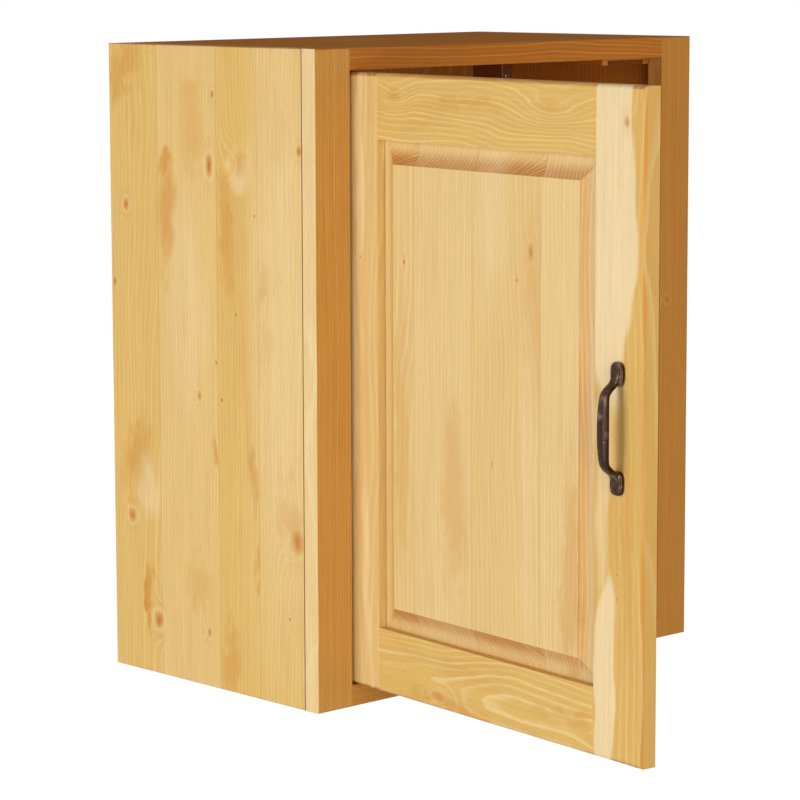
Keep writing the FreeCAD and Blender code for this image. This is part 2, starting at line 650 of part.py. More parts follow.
def door_stop():
    """The block behind the top rail that stops the closed door, with its felt pad and screws."""
    right = f"({INSIDE} - stop_from_side)"
    pad_front = f"({FRONT} + door_thick + stop_clearance)"
    front = f"({pad_front} + stop_pad_thick)"
    under = "(height - board_thick - stop_drop)"
    top = "(height - board_thick)"
    block = Board("door_stop_block", (f"{right} - stop_wide", front, under),
                  (right, f"{front} + stop_deep", top))
    pad_left = f"({right} - stop_wide / 2 - stop_pad_wide / 2)"
    pad = box("stop_pad", (pad_left, pad_front, under),
              (f"{pad_left} + stop_pad_wide", front, f"{under} + stop_pad_tall"))
    seat(group("stop_pad_group", [pad]), "door_stop_pad")
    screws = []
    for index, share in enumerate(("1 / 5", "4 / 5")):
        at = (f"{right} - stop_wide * {share}", f"{front} + stop_deep / 2", under)
        block.bore("screw_radius + screw_fit", "stop_drop", at, "z")
        block.sink(at, "z")
        screws.append(wood_screw(f"stop_screw_{index}", "stop_screw_long", at, "z"))
        top_board.bore("screw_radius + screw_fit", "stop_screw_long - stop_drop + screw_fit",
                       (at[0], at[1], top), "z")
    seat(group("door_stop_screws_group", screws), "door_stop_screws")


# ---------------------------------------------------------------- hinges

def hinge_block(label, height):
    """The packing block that brings a hinge plate level with the edge of the stile."""
    block = Board(label, (f"-{INSIDE}", FRAME_BACK, f"{height} - block_tall / 2"),
                  (f"-{OPENING}", f"{FRAME_BACK} + block_deep", f"{height} + block_tall / 2"))
    for shift in ("-1", "1"):
        at = (f"-{OPENING}", BLOCK_SCREW_Y, f"{height} + {shift} * block_screw_spacing / 2")
        block.bore("screw_radius + screw_fit", "stile_wide - side_thick", at, "-x")
        block.sink(at, "-x")
        block.bore("screw_radius + screw_fit", "plate_screw_long - plate_thick + screw_fit",
                   (f"-{OPENING}", PLATE_SCREW_Y, f"{height} + {shift} * plate_screw_spacing / 2"),
                   "-x")
    for at in arm_screw_places(height):
        block.bore("arm_screw_radius + screw_fit", "arm_thick + screw_fit",
                   (f"-{OPENING}", at[1], at[2]), "-x")


def arm_screw_places(height):
    """Heads of the two screws that clamp and adjust an arm, on the arm's inner face."""
    level = f"(-{OPENING} + plate_thick + arm_thick)"
    return [(level, f"{PLATE_SCREW_Y} + {shift} * plate_long / 4", height) for shift in ("-1", "1")]


def hinge_plate(name, label, height):
    """The cross-shaped mounting plate, with bores for its wing screws and the arm screws."""
    low_x, high_x = f"-{OPENING}", f"-{OPENING} + plate_thick"
    bar = box(f"{name}_bar",
              (low_x, f"{FRONT} + plate_setback", f"{height} - plate_tall / 2"),
              (high_x, f"{FRONT} + plate_setback + plate_long", f"{height} + plate_tall / 2"))
    wings = box(f"{name}_wings",
                (low_x, f"{PLATE_SCREW_Y} - wing_long / 2", f"{height} - wing_tall / 2"),
                (high_x, f"{PLATE_SCREW_Y} + wing_long / 2", f"{height} + wing_tall / 2"))
    bores = [screw_space(f"{name}_wing_bore_{index}", "plate_screw_long", (
                high_x, PLATE_SCREW_Y, f"{height} + {shift} * plate_screw_spacing / 2"), "-x")
             for index, shift in enumerate(("-1", "1"))]
    bores += [rod(f"{name}_arm_bore_{index}", "arm_screw_radius + screw_fit",
                  "plate_thick + arm_thick", at, "-x")
              for index, at in enumerate(arm_screw_places(height))]
    seat(cut(name, fuse(f"{name}_blank", [bar, wings]), bores), label)


def hinge_arm(name, label, height):
    """The bent arm from the mounting plate, round the door's edge and into the cup."""
    half = size("arm_thick") / 2
    pin = FreeCAD.Vector(number(PIVOT_X), number(PIVOT_Y), 0)
    rest_x = number(f"-{OPENING} + plate_thick") + half
    low = number(height) - size("arm_wide") / 2
    corners = [pin, pin + FreeCAD.Vector(size("arm_reach"), 0, 0),
               pin + FreeCAD.Vector(size("arm_reach"), size("arm_rise"), 0),
               FreeCAD.Vector(rest_x + 2 * size("arm_bend"), pin.y + size("arm_rise"), 0),
               FreeCAD.Vector(rest_x, pin.y + size("arm_rise") + 2 * size("arm_bend"), 0),
               FreeCAD.Vector(rest_x, pin.y + size("arm_length"), 0)]
    path = rounded_path([corner + FreeCAD.Vector(0, 0, low) for corner in corners],
                        size("arm_bend"))
    start = path.Vertexes[0].Point
    across = FreeCAD.Vector(0, half, 0)
    up = FreeCAD.Vector(0, 0, size("arm_wide"))
    section = Part.makePolygon([start - across, start + across, start + across + up,
                                start - across + up, start - across])
    strip = path.makePipeShell([section], True, False)
    eye = Part.makeCylinder(size("arm_knuckle_radius"), size("arm_wide"), start)
    bore = Part.makeCylinder(size("hinge_pin_radius") + size("hinge_pin_fit"),
                             size("arm_wide"), start)
    arm = strip.fuse(eye).cut(bore)
    for at in arm_screw_places(height):
        arm = arm.cut(Part.makeCylinder(size("arm_screw_radius") + size("screw_fit"),
                                        size("arm_thick") + 2 * half,
                                        FreeCAD.Vector(number(at[0]) + half, number(at[1]),
                                                       number(at[2])),
                                        FreeCAD.Vector(-1, 0, 0)))
    made = doc.addObject("Part::Feature", name)
    made.Shape = arm.removeSplitter()
    seat(made, label)


def rounded_path(points, radius):
    """A wire of straight runs through the points, joined by arcs of one radius."""
    edges = []
    start = points[0]
    for before, corner, after in zip(points, points[1:], points[2:]):
        inward = (before - corner).normalize()
        onward = (after - corner).normalize()
        half_angle = inward.getAngle(onward) / 2
        setback = radius / math.tan(half_angle)
        bisector = (inward + onward).normalize()
        first, last = corner + inward * setback, corner + onward * setback
        centre = corner + bisector * (radius / math.sin(half_angle))
        edges.append(Part.LineSegment(start, first).toShape())
        edges.append(Part.Arc(first, centre - bisector * radius, last).toShape())
        start = last
    edges.append(Part.LineSegment(start, points[-1]).toShape())
    return Part.Wire(edges)


def hinge_cup(name, label, height):
    """The cup with its flange, open towards the cabinet, bored for the pin and two screws."""
    floor_y = f"({DOOR_BACK} - cup_deep)"
    body = rod(f"{name}_body", "cup_radius", "cup_deep", (CUP_X, floor_y, height), "y")
    middle = f"({CUP_X} + flange_offset)"
    flange = box(f"{name}_flange",
                 (f"{middle} - flange_wide / 2", DOOR_BACK, f"{height} - flange_tall / 2"),
                 (f"{middle} + flange_wide / 2", f"{DOOR_BACK} + flange_thick",
                  f"{height} + flange_tall / 2"))
    rim = rod(f"{name}_rim", "cup_radius + cup_wall", "flange_thick",
              (CUP_X, DOOR_BACK, height), "y")
    hollow = rod(f"{name}_hollow", "cup_radius - cup_wall", "cup_deep + flange_thick",
                 (CUP_X, f"{floor_y} + cup_floor", height), "y")
    pin_bore = rod(f"{name}_pin_bore", "hinge_pin_radius", "2 * cup_radius",
                   ("0", "0", f"{height} - cup_radius"))
    screws = [screw_space(f"{name}_screw_bore_{index}", "cup_screw_long", (
                 middle, f"{DOOR_BACK} + flange_thick",
                 f"{height} + {shift} * cup_screw_spacing / 2"), "-y")
              for index, shift in enumerate(("-1", "1"))]
    seat(cut(name, fuse(f"{name}_blank", [body, flange, rim]), [hollow, pin_bore] + screws),
         label, hung=True)
    # The pin's ends lie in the cup's wall.
    half = f"sqrt(cup_radius^2 - ({CUP_X} + hinge_pin_radius)^2)"
    pin = rod(f"{name}_pin", "hinge_pin_radius", f"2 * {half}", ("0", "0", f"{height} - {half}"))
    seat(group(f"{name}_pin_group", [pin]), label.replace("cup", "pin"), hung=True)


def hinge_screws():
    """The four kinds of hinge screws, each kind as one group."""
    cup, plate, arm, block = [], [], [], []
    middle = f"({CUP_X} + flange_offset)"
    for place_name, height in HINGE_HEIGHTS.items():
        for index, shift in enumerate(("-1", "1")):
            tag = f"{place_name}_{index}"
            cup.append(wood_screw(f"cup_screw_{tag}", "cup_screw_long",
                                  (middle, f"{DOOR_BACK} + flange_thick",
                                   f"{height} + {shift} * cup_screw_spacing / 2"), "-y"))
            plate.append(wood_screw(f"plate_screw_{tag}", "plate_screw_long",
                                    (f"-{OPENING} + plate_thick", PLATE_SCREW_Y,
                                     f"{height} + {shift} * plate_screw_spacing / 2"), "-x"))
            block.append(wood_screw(f"block_screw_{tag}", "block_screw_long",
                                    (f"-{OPENING}", BLOCK_SCREW_Y,
                                     f"{height} + {shift} * block_screw_spacing / 2"), "-x"))
        for index, at in enumerate(arm_screw_places(height)):
            tag = f"arm_screw_{place_name}_{index}"
            shank = rod(f"{tag}_shank", "arm_screw_radius", "plate_thick + 2 * arm_thick", at, "-x")
            head = rod(f"{tag}_head", "arm_screw_head_radius", "arm_screw_head_tall", at, "x")
            arm.append(fuse(tag, [shank, head]))
    seat(group("hinge_cup_screws_group", cup), "hinge_cup_screws", hung=True)
    seat(group("hinge_plate_screws_group", plate), "hinge_plate_screws")
    seat(group("hinge_arm_screws_group", arm), "hinge_arm_screws")
    seat(group("hinge_block_screws_group", block), "hinge_block_screws")


# ---------------------------------------------------------------- door

def door_stile(label, low_x, high_x, groove_low_x, groove_high_x):
    """A stile of the door, the door's full height, grooved along its inner edge."""
    stile = Board(label, (low_x, DOOR_FRONT, DOOR_LOW), (high_x, DOOR_BACK, DOOR_HIGH), hung=True)
    outer = number(low_x if groove_low_x != low_x else high_x)
    soften_door_edges(stile, both_at(0, outer))
    stile.groove((groove_low_x, f"{TONGUE_FRONT} - groove_fit", DOOR_LOW),
                 (groove_high_x, f"{TONGUE_FRONT} + tongue_thick + groove_fit", DOOR_HIGH))
    return stile


def door_rail(label, low_z, high_z, groove_low_z, groove_high_z, outer_z):
    """A rail of the door with a tongue into each stile, grooved along its inner edge."""
    rail = Board(label, (PANEL_LEFT, DOOR_FRONT, low_z), (PANEL_RIGHT, DOOR_BACK, high_z), hung=True)
    at_end = both_at(2, number(outer_z))
    soften_door_edges(rail, lambda start, end: at_end(start, end) and cross_run(start, end))
    rail.add((f"{PANEL_LEFT} - {TONGUE_LONG}", TONGUE_FRONT, low_z),
             (f"{PANEL_RIGHT} + {TONGUE_LONG}", f"{TONGUE_FRONT} + tongue_thick", high_z))
    rail.groove((f"{PANEL_LEFT} - {TONGUE_LONG}", f"{TONGUE_FRONT} - groove_fit", groove_low_z),
                (f"{PANEL_RIGHT} + {TONGUE_LONG}", f"{TONGUE_FRONT} + tongue_thick + groove_fit",
                 groove_high_z))


def soften_door_edges(board, outer):
    """Round the outer edges of a door board, more at the front than at the back."""
    at_ends = [both_at(2, number(level)) for level in (DOOR_LOW, DOOR_HIGH)]

    def on_outside(start, end):
        at_an_end = any(at_end(start, end) for at_end in at_ends)
        return outer(start, end) or (at_an_end and cross_run(start, end))

    for radius, face in (("door_round", DOOR_FRONT), ("door_back_round", DOOR_BACK)):
        on_face = both_at(1, number(face))
        board.soften(radius, lambda start, end, on_face=on_face:
                     on_face(start, end) and on_outside(start, end))


def door_panel():
    """The raised panel: a field level with the frame and a cove down to the edge all round."""
    left, right = f"{PANEL_LEFT} - {TONGUE_LONG}", f"{PANEL_RIGHT} + {TONGUE_LONG}"
    low, high = f"{PANEL_LOW} - {TONGUE_LONG}", f"{PANEL_HIGH} + {TONGUE_LONG}"
    field = f"({DOOR_FRONT} + field_inset)"
    blank = box("panel_blank", (left, field, low), (right, f"{TONGUE_FRONT} + tongue_thick", high))
    drop = "(tongue_from_face - field_inset - cove_step)"
    radius = f"((cove_wide^2 + {drop}^2) / (2 * {drop}))"
    axis_y = f"{TONGUE_FRONT} - {radius}"
    cutters = []
    upright = (("left", PANEL_LEFT, left, PANEL_LEFT, PANEL_LEFT, f"{PANEL_LEFT} + cove_wide"),
               ("right", PANEL_RIGHT, PANEL_RIGHT, right, f"{PANEL_RIGHT} - cove_wide", PANEL_RIGHT))
    for name, axis_x, edge_low, edge_high, cove_low, cove_high in upright:
        roller = rod(f"{name}_cove_round", radius, f"{high} - ({low})", (axis_x, axis_y, low))
        band = box(f"{name}_cove_band", (cove_low, field, low), (cove_high, TONGUE_FRONT, high))
        cutters.append(common(f"{name}_cove", [roller, band]))
        cutters.append(box(f"{name}_edge", (edge_low, field, low), (edge_high, TONGUE_FRONT, high)))
    level = (("lower", PANEL_LOW, low, PANEL_LOW, PANEL_LOW, f"{PANEL_LOW} + cove_wide"),
             ("upper", PANEL_HIGH, PANEL_HIGH, high, f"{PANEL_HIGH} - cove_wide", PANEL_HIGH))
    for name, axis_z, edge_low, edge_high, cove_low, cove_high in level:
        roller = rod(f"{name}_cove_round", radius, f"{right} - ({left})", (left, axis_y, axis_z), "x")
        band = box(f"{name}_cove_band", (left, field, cove_low), (right, TONGUE_FRONT, cove_high))
        cutters.append(common(f"{name}_cove", [roller, band]))
        cutters.append(box(f"{name}_edge", (left, field, edge_low), (right, TONGUE_FRONT, edge_high)))
    seat(cut("raised_panel", blank, cutters), "door_panel", hung=True)


def handle():
    """The bow handle: a grip that swells in the middle, two curved necks and two oval feet."""
    middle = FreeCAD.Vector(number(HANDLE_X), number(DOOR_FRONT), number(HANDLE_Z))
    solid = handle_bow(middle)
    foot_shift = (size("handle_long") - size("foot_long")) / 2
    for sign in (-1, 1):
        solid = solid.fuse(handle_foot(middle + FreeCAD.Vector(0, 0, sign * foot_shift)))
    screw_shift = size("handle_screw_spacing") / 2
    for sign in (-1, 1):
        start = middle + FreeCAD.Vector(0, 0, sign * screw_shift)
        solid = solid.cut(Part.makeCylinder(size("handle_screw_radius") + size("screw_fit"),
                                            size("handle_screw_in_foot"), start,
                                            FreeCAD.Vector(0, -1, 0)))
    made = doc.addObject("Part::Feature", "bow_handle")
    made.Shape = solid.removeSplitter()
    seat(made, "handle", hung=True)


# Turns count along the bow: 0 is the middle of the grip, a quarter turn either way is a foot.
BOW_SECTIONS = 9      # sections from the middle of the grip to each foot
BOW_CROWDING = 1.5    # above 1, the sections lie closer together towards the middle
BOW_END = math.radians(88)
NECK_START = math.radians(45)


def handle_bow(middle):
    """The bow as a loft through ellipses that narrow from the grip to the necks."""
    def point_at(turn):
        along = math.copysign(math.sqrt(abs(math.sin(turn))), turn)
        return middle + FreeCAD.Vector(0, -size("bow_height") * math.cos(turn),
                                       along * size("handle_screw_spacing") / 2)

    sections = []
    step = math.radians(1)
    for index in range(-BOW_SECTIONS, BOW_SECTIONS + 1):
        share = (abs(index) / BOW_SECTIONS) ** BOW_CROWDING
        turn = BOW_END * math.copysign(share, index)
        narrowing = min(1, math.sqrt(abs(math.sin(turn)) / math.sin(NECK_START)))
        wide = size("grip_wide") + (size("neck_wide") - size("grip_wide")) * narrowing
        thick = size("grip_thick") + (size("neck_thick") - size("grip_thick")) * narrowing
        heading = point_at(turn + step) - point_at(turn - step)
        tilt = FreeCAD.Rotation(FreeCAD.Vector(1, 0, 0), FreeCAD.Vector(0, 1, 0), heading, "ZXY")
        ring = Part.Ellipse(FreeCAD.Vector(), wide / 2, thick / 2).toShape()
        ring.Placement = FreeCAD.Placement(point_at(turn), tilt)
        sections.append(Part.Wire([ring]))
    return Part.makeLoft(sections, True, False)


# Rings of a foot, as shares of its thickness: height above the door, and step in from the edge.
FOOT_PROFILE = ((0, 0), (0.55, 0), (0.85, 0.2), (1, 0.6))


def handle_foot(centre):
    """One oval foot of the handle, domed towards its edge."""
    upright = FreeCAD.Rotation(FreeCAD.Vector(0, 0, 1), FreeCAD.Vector(1, 0, 0),
                               FreeCAD.Vector(0, -1, 0), "XYZ")
    thick = size("foot_thick")
    rings = []
    for height, inset in FOOT_PROFILE:
        ring = Part.Ellipse(FreeCAD.Vector(), size("foot_long") / 2 - inset * thick,
                            size("foot_wide") / 2 - inset * thick).toShape()
        ring.Placement = FreeCAD.Placement(centre - FreeCAD.Vector(0, height * thick, 0), upright)
        rings.append(Part.Wire([ring]))
    return Part.makeLoft(rings, True, True)


def handle_screws(stile):
    """The two screws through the door into the handle, and their bores in the stile."""
    screws = []
    for index, shift in enumerate(("-1", "1")):
        height = f"{HANDLE_Z} + {shift} * handle_screw_spacing / 2"
        stile.bore("handle_screw_radius + screw_fit", "door_thick",
                   (HANDLE_X, DOOR_FRONT, height), "y")
        shank = rod(f"handle_screw_shank_{index}", "handle_screw_radius",
                    "door_thick + handle_screw_in_foot - screw_fit",
                    (HANDLE_X, DOOR_BACK, height), "-y")
        head = rod(f"handle_screw_head_{index}", "handle_screw_head_radius",
                   "handle_screw_head_tall", (HANDLE_X, DOOR_BACK, height), "y")
        screws.append(fuse(f"handle_screw_{index}", [shank, head]))
    seat(group("handle_screws_group", screws), "handle_screws", hung=True)


# ---------------------------------------------------------------- assembly

side_panel("left_side_panel", -1)
side_panel("right_side_panel", 1)
carcass_board("bottom_board", "0", BOARD_MIDDLES["bottom"],
              "board_thick - back_groove", "board_thick")
top_board = carcass_board("top_board", "(height - board_thick)", BOARD_MIDDLES["top"],
                          "height - board_thick", "height - board_thick + back_groove")
back_panel()
frame_stile("frame_left_stile", -1)
frame_stile("frame_right_stile", 1)
frame_rail("frame_bottom_rail", "0", RAIL_MIDDLES[0])
frame_rail("frame_top_rail", "(height - rail_tall)", RAIL_MIDDLES[1])
dowels()
for shelf_name, row in SHELF_ROWS.items():
    shelf(f"{shelf_name}_shelf", row)
shelf_pins()
hanger("left", -1)
hanger("right", 1)
hanger_screws()
door_stop()

hinge_stile = door_stile("door_hinge_stile", DOOR_LEFT, PANEL_LEFT,
                         f"{PANEL_LEFT} - tongue_groove", PANEL_LEFT)
handle_stile = door_stile("door_handle_stile", PANEL_RIGHT, DOOR_RIGHT,
                          PANEL_RIGHT, f"{PANEL_RIGHT} + tongue_groove")
door_rail("door_bottom_rail", DOOR_LOW, PANEL_LOW, f"{PANEL_LOW} - tongue_groove", PANEL_LOW,
          DOOR_LOW)
door_rail("door_top_rail", PANEL_HIGH, DOOR_HIGH, PANEL_HIGH, f"{PANEL_HIGH} + tongue_groove",
          DOOR_HIGH)
door_panel()
handle()
handle_screws(handle_stile)
for place_name, height in HINGE_HEIGHTS.items():
    hinge_block(f"{place_name}_hinge_block", height)
    hinge_plate(f"{place_name}_plate", f"{place_name}_hinge_plate", height)
    hinge_arm(f"{place_name}_arm", f"{place_name}_hinge_arm", height)
    hinge_cup(f"{place_name}_cup", f"{place_name}_hinge_cup", height)
    hinge_stile.bore("cup_radius + cup_fit", "cup_deep + cup_fit", (CUP_X, DOOR_BACK, height), "-y")
    for shift in ("-1", "1"):
        at = (f"{CUP_X} + flange_offset", f"{DOOR_BACK} + flange_thick",
              f"{height} + {shift} * cup_screw_spacing / 2")
        hinge_stile.bore("screw_radius + screw_fit", "cup_screw_long + screw_fit", at, "-y")
        hinge_stile.sink(at, "-y")
hinge_screws()

doc.recompute()

# ---------------------------------------------------------------- checks and files

broken = [obj.Name for obj in doc.Objects if {"Invalid", "Error"} & set(obj.State)]
bad = [node.Label for node in nodes if node.Shape.isNull() or not node.Shape.isValid()]
if broken or bad:
    raise RuntimeError(f"failed objects: {broken}, failed sub-parts: {bad}")

os.makedirs("parts", exist_ok=True)
for node in nodes:
    node.Shape.exportStep(f"parts/{node.Label}.step")
    print(node.Label, len(node.Shape.Solids), round(node.Shape.Volume / 1000, 2), "cm3")
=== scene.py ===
"""Dresses the corner wall cabinet: waxed spruce, a bronzed bow handle and bright steel fittings."""

from __future__ import annotations

import logging
import math
import random
from collections.abc import Iterable, Sequence
from dataclasses import dataclass
from enum import Enum

import bmesh
import bpy
from mathutils import Matrix, Vector


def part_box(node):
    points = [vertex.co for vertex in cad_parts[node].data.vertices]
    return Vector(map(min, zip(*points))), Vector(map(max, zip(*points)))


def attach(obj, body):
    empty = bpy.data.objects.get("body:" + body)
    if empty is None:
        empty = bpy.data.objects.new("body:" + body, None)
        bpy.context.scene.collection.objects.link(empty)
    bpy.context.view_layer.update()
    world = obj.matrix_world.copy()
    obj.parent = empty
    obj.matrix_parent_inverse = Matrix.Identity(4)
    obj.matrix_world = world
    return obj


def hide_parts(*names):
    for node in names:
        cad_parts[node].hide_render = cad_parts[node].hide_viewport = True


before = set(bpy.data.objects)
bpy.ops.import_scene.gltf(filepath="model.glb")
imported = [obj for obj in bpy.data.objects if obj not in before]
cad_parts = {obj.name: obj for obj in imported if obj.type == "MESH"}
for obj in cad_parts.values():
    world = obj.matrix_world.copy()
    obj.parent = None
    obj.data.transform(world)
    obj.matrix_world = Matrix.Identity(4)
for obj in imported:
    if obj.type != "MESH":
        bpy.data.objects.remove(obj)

log = logging.getLogger("cabinet")

Socket = bpy.types.NodeSocket
Feed = Socket | float | Sequence[float]
Colour = tuple[float, float, float, float]
Triple = tuple[float, float, float]

MM = 0.001
UP = Vector((0.0, 0.0, 1.0))
RIGHT = Vector((1.0, 0.0, 0.0))
BACKWARD = Vector((0.0, 1.0, 0.0))

# The cabinet's faces and members, in metres.
HALF_WIDE = 0.3
DEEP = 0.35
LOW = -0.68
HIGH = 0.04
STILE_WIDE = 0.05
RAIL_TALL = 0.024
BACK_PANEL_FRONT = -0.024
SHELF_GRAIN_HEIGHT = 0.3

# The open door: its own frame has the hinge axis as origin and the underside as height 0.
DOOR_ANGLE = 96.0
HINGE_AXIS = (-0.2341, -0.33815)
AXIS_FROM_EDGE = 0.0124
AXIS_FROM_FACE = 0.01185
DOOR_PLACE = Matrix.Translation(Vector((*HINGE_AXIS, LOW))) @ Matrix.Rotation(
    math.radians(-DOOR_ANGLE), 4, "Z")
DOOR_ACROSS = (DOOR_PLACE.to_3x3() @ RIGHT).normalized()
DOOR_CORNER = DOOR_PLACE @ Vector((-AXIS_FROM_EDGE, -AXIS_FROM_FACE, 0.0))
CABINET_PLACE = Matrix.Translation(Vector((0.0, 0.0, LOW)))


def tint(red: int, green: int, blue: int) -> Colour:
    """A colour as a shader wants it.

    Args:
        red: Red as it is seen, 0 to 255.
        green: Green as it is seen, 0 to 255.
        blue: Blue as it is seen, 0 to 255.

    Returns:
        The linear colour with full opacity.
    """
    linear = [((share + 0.055) / 1.055) ** 2.4 if share > 0.04045 else share / 12.92
              for share in (red / 255, green / 255, blue / 255)]
    return (linear[0], linear[1], linear[2], 1.0)


class NodeSheet:
    """One node tree, with short calls for the nodes that the finishes use."""

    def __init__(self, tree: bpy.types.NodeTree) -> None:
        """Keep the tree that the calls draw on."""
        self.tree = tree

    def feed(self, node: bpy.types.Node, feeds: dict[int | str, Feed]) -> None:
        """Set a node's inputs.

        Args:
            node: The node.
            feeds: What goes into its sockets, by number or name: a socket or a constant.
        """
        for key, value in feeds.items():
            if isinstance(value, Socket):
                self.tree.links.new(value, node.inputs[key])
            else:
                node.inputs[key].default_value = value

    def add(self, kind: str, feeds: dict[int | str, Feed], **settings: object) -> bpy.types.Node:
        """Add a node.

        Args:
            kind: The node's type after "ShaderNode".
            feeds: What goes into its sockets.
            settings: The node's own properties.

        Returns:
            The new node.
        """
        node = self.tree.nodes.new(f"ShaderNode{kind}")
        for name, value in settings.items():
            setattr(node, name, value)
        self.feed(node, feeds)
        return node

    def group(self, tree: bpy.types.NodeTree, feeds: dict[int | str, Feed]) -> bpy.types.Node:
        """A node that stands for a whole group."""
        node = self.add("Group", {})
        node.node_tree = tree
        self.feed(node, feeds)
        return node

    def math(self, operation: str, *values: Feed) -> Socket:
        """An operation on numbers, named as the Math node names it."""
        return self.add("Math", dict(enumerate(values)), operation=operation).outputs[0]

    def times(self, first: Feed, second: Feed) -> Socket:
        """The product of two numbers."""
        return self.math("MULTIPLY", first, second)

    def plus(self, first: Feed, second: Feed) -> Socket:
        """The sum of two numbers."""
        return self.math("ADD", first, second)

    def minus(self, first: Feed, second: Feed) -> Socket:
        """The difference of two numbers."""
        return self.math("SUBTRACT", first, second)

    def most(self, first: Feed, second: Feed) -> Socket:
        """The larger of two numbers."""
        return self.math("MAXIMUM", first, second)

    def vector(self, operation: str, *values: Feed) -> Socket:
        """An operation on vectors, named as the Vector Math node names it."""
        node = self.add("VectorMath", dict(enumerate(values)), operation=operation)
        return node.outputs["Value" if operation in ("LENGTH", "DOT_PRODUCT") else "Vector"]

    def scaled(self, vector: Feed, factor: float) -> Socket:
        """A vector made longer or shorter."""
        return self.add("VectorMath", {0: vector, "Scale": factor}, operation="SCALE").outputs[0]

    def parts(self, vector: Feed) -> bpy.types.bpy_prop_collection:
        """The three numbers of a vector."""
        return self.add("SeparateXYZ", {0: vector}).outputs

    def joined(self, first: Feed, second: Feed, third: Feed) -> Socket:
        """A vector from three numbers."""
        return self.add("CombineXYZ", {0: first, 1: second, 2: third}).outputs[0]

    def ease(self, value: Feed, start: float, end: float) -> Socket:
        """A soft step from 0 at the start to 1 at the end."""
        node = self.add("MapRange", {0: value, 1: start, 2: end}, interpolation_type="SMOOTHSTEP")
        return node.outputs[0]

    def span(self, value: Feed, low: float, high: float) -> Socket:
        """A share from 0 to 1 laid out between two numbers."""
        return self.add("MapRange", {0: value, 3: low, 4: high}).outputs[0]

    def blend(self, share: Feed, first: Feed, second: Feed, how: str = "MIX") -> Socket:
        """A colour between two colours."""
        node = self.add("Mix", {0: share, 6: first, 7: second}, data_type="RGBA", blend_type=how)
        return node.outputs[2]

    def paint(self, colour: Feed, *coats: tuple[Feed, float, Feed]) -> Socket:
        """Lay coats over a colour in turn.

        Args:
            colour: What is painted over.
            coats: The mask, strength and colour of each coat.

        Returns:
            The painted colour.
        """
        for mask, strength, coat in coats:
            colour = self.blend(self.times(mask, strength), colour, coat)
        return colour

    def choose(self, share: Feed, first: Feed, second: Feed) -> Socket:
        """A vector between two vectors."""
        return self.add("Mix", {0: share, 4: first, 5: second}, data_type="VECTOR").outputs[1]

    def noise(self, vector: Feed, scale: float, detail: float = 2.0) -> bpy.types.Node:
        """A noise texture node at one scale."""
        return self.add("TexNoise", {"Vector": vector, "Scale": scale, "Detail": detail})

    def stretched(self, place: Feed, factors: Triple, detail: float) -> Socket:
        """A noise with its own scale in each direction."""
        return self.noise(self.vector("MULTIPLY", place, factors), 1.0, detail).outputs[0]

    def drift(self, place: Feed, factors: Triple, detail: float) -> Socket:
        """A vector that wanders round 0, with its own scale in each direction."""
        cloud = self.noise(self.vector("MULTIPLY", place, factors), 1.0, detail)
        return self.vector("SUBTRACT", cloud.outputs["Color"], (0.5, 0.5, 0.5))

    def surface(self, shader: bpy.types.Node, colour: Feed, roughness: Feed, height: Feed,
                strength: float, distance: float) -> None:
        """Finish a shader.

        Args:
            shader: The principled shader.
            colour: Its colour.
            roughness: Its roughness.
            height: The relief, as a share.
            strength: How much of the relief shows.
            distance: The depth of the relief in metres.
        """
        bump = self.add("Bump", {"Height": height, "Strength": strength, "Distance": distance})
        self.feed(shader, {"Base Color": colour, "Roughness": roughness, "Normal": bump.outputs[0]})


def new_group(name: str, floats: Iterable[str], vectors: Iterable[str],
              results: Iterable[str]) -> tuple[NodeSheet, bpy.types.Node, bpy.types.Node]:
    """Start a node group.

    Args:
        name: The group's name.
        floats: Its number inputs.
        vectors: Its vector inputs.
        results: Its number outputs.

    Returns:
        The sheet to draw on, the node with the inputs and the node for the results.
    """
    tree = bpy.data.node_groups.new(name, "ShaderNodeTree")
    for label in vectors:
        tree.interface.new_socket(label, in_out="INPUT", socket_type="NodeSocketVector")
    for label in floats:
        tree.interface.new_socket(label, in_out="INPUT", socket_type="NodeSocketFloat")
    for label in results:
        tree.interface.new_socket(label, in_out="OUTPUT", socket_type="NodeSocketFloat")
    return NodeSheet(tree), tree.nodes.new("NodeGroupInput"), tree.nodes.new("NodeGroupOutput")


def new_material(name: str) -> tuple[bpy.types.Material, NodeSheet, bpy.types.Node]:
    """Start a material with one principled shader.

    Args:
        name: The material's name.

    Returns:
        The material, the sheet to draw on and the shader.
    """
    material = bpy.data.materials.new(name)
    material.use_nodes = True
    sheet = NodeSheet(material.node_tree)
    return material, sheet, material.node_tree.nodes["Principled BSDF"]


# ---------------------------------------------------------------- wood

FULL_GLOSS = 0.35   # specular level of a well polished board
JOINT_SOFT = 0.4    # millimetres over which a stain fades at a glue line
FAR = 1e6           # millimetres, so that a mark reaches through the whole board


class Cut(Enum):
    """How a board was sawn from its log, as the distance of the pith from the board in mm."""

    FLAT = (0.0, 55.0)
    RIFT = (120.0, 60.0)
    QUARTER = (330.0, 25.0)


class Tone(Enum):
    """How deep the wax has coloured a board, 0 straw to 1 amber. Below 0 a board is blended toward cream,
    which is painted sheen; some deep tones are painted shade.
    """

    # Painted sheen that pales the door's panel and hinge stile.
    PALE_SHEEN = -0.3
    STRAW = 0.0
    HONEY = 0.3
    GOLD = 0.5
    AMBER = 0.75
    DEEP = 1.0


@dataclass(frozen=True)
class Lie:
    """How a board lies: its corner in metres, its grain's direction and the one across it."""

    corner: Vector
    along: Vector
    across: Vector

    def place(self, sheet: NodeSheet) -> Socket:
        """Millimetres along the grain, across it and through the board."""
        turn = Matrix((self.along, self.across, self.along.cross(self.across)))
        shift = turn @ self.corner * -1000
        coordinates = sheet.add("TexCoord", {})
        return sheet.add("Mapping", {"Vector": coordinates.outputs["Object"], "Location": shift,
                                     "Rotation": turn.to_euler("XYZ"),
                                     "Scale": (1000.0,) * 3}).outputs[0]


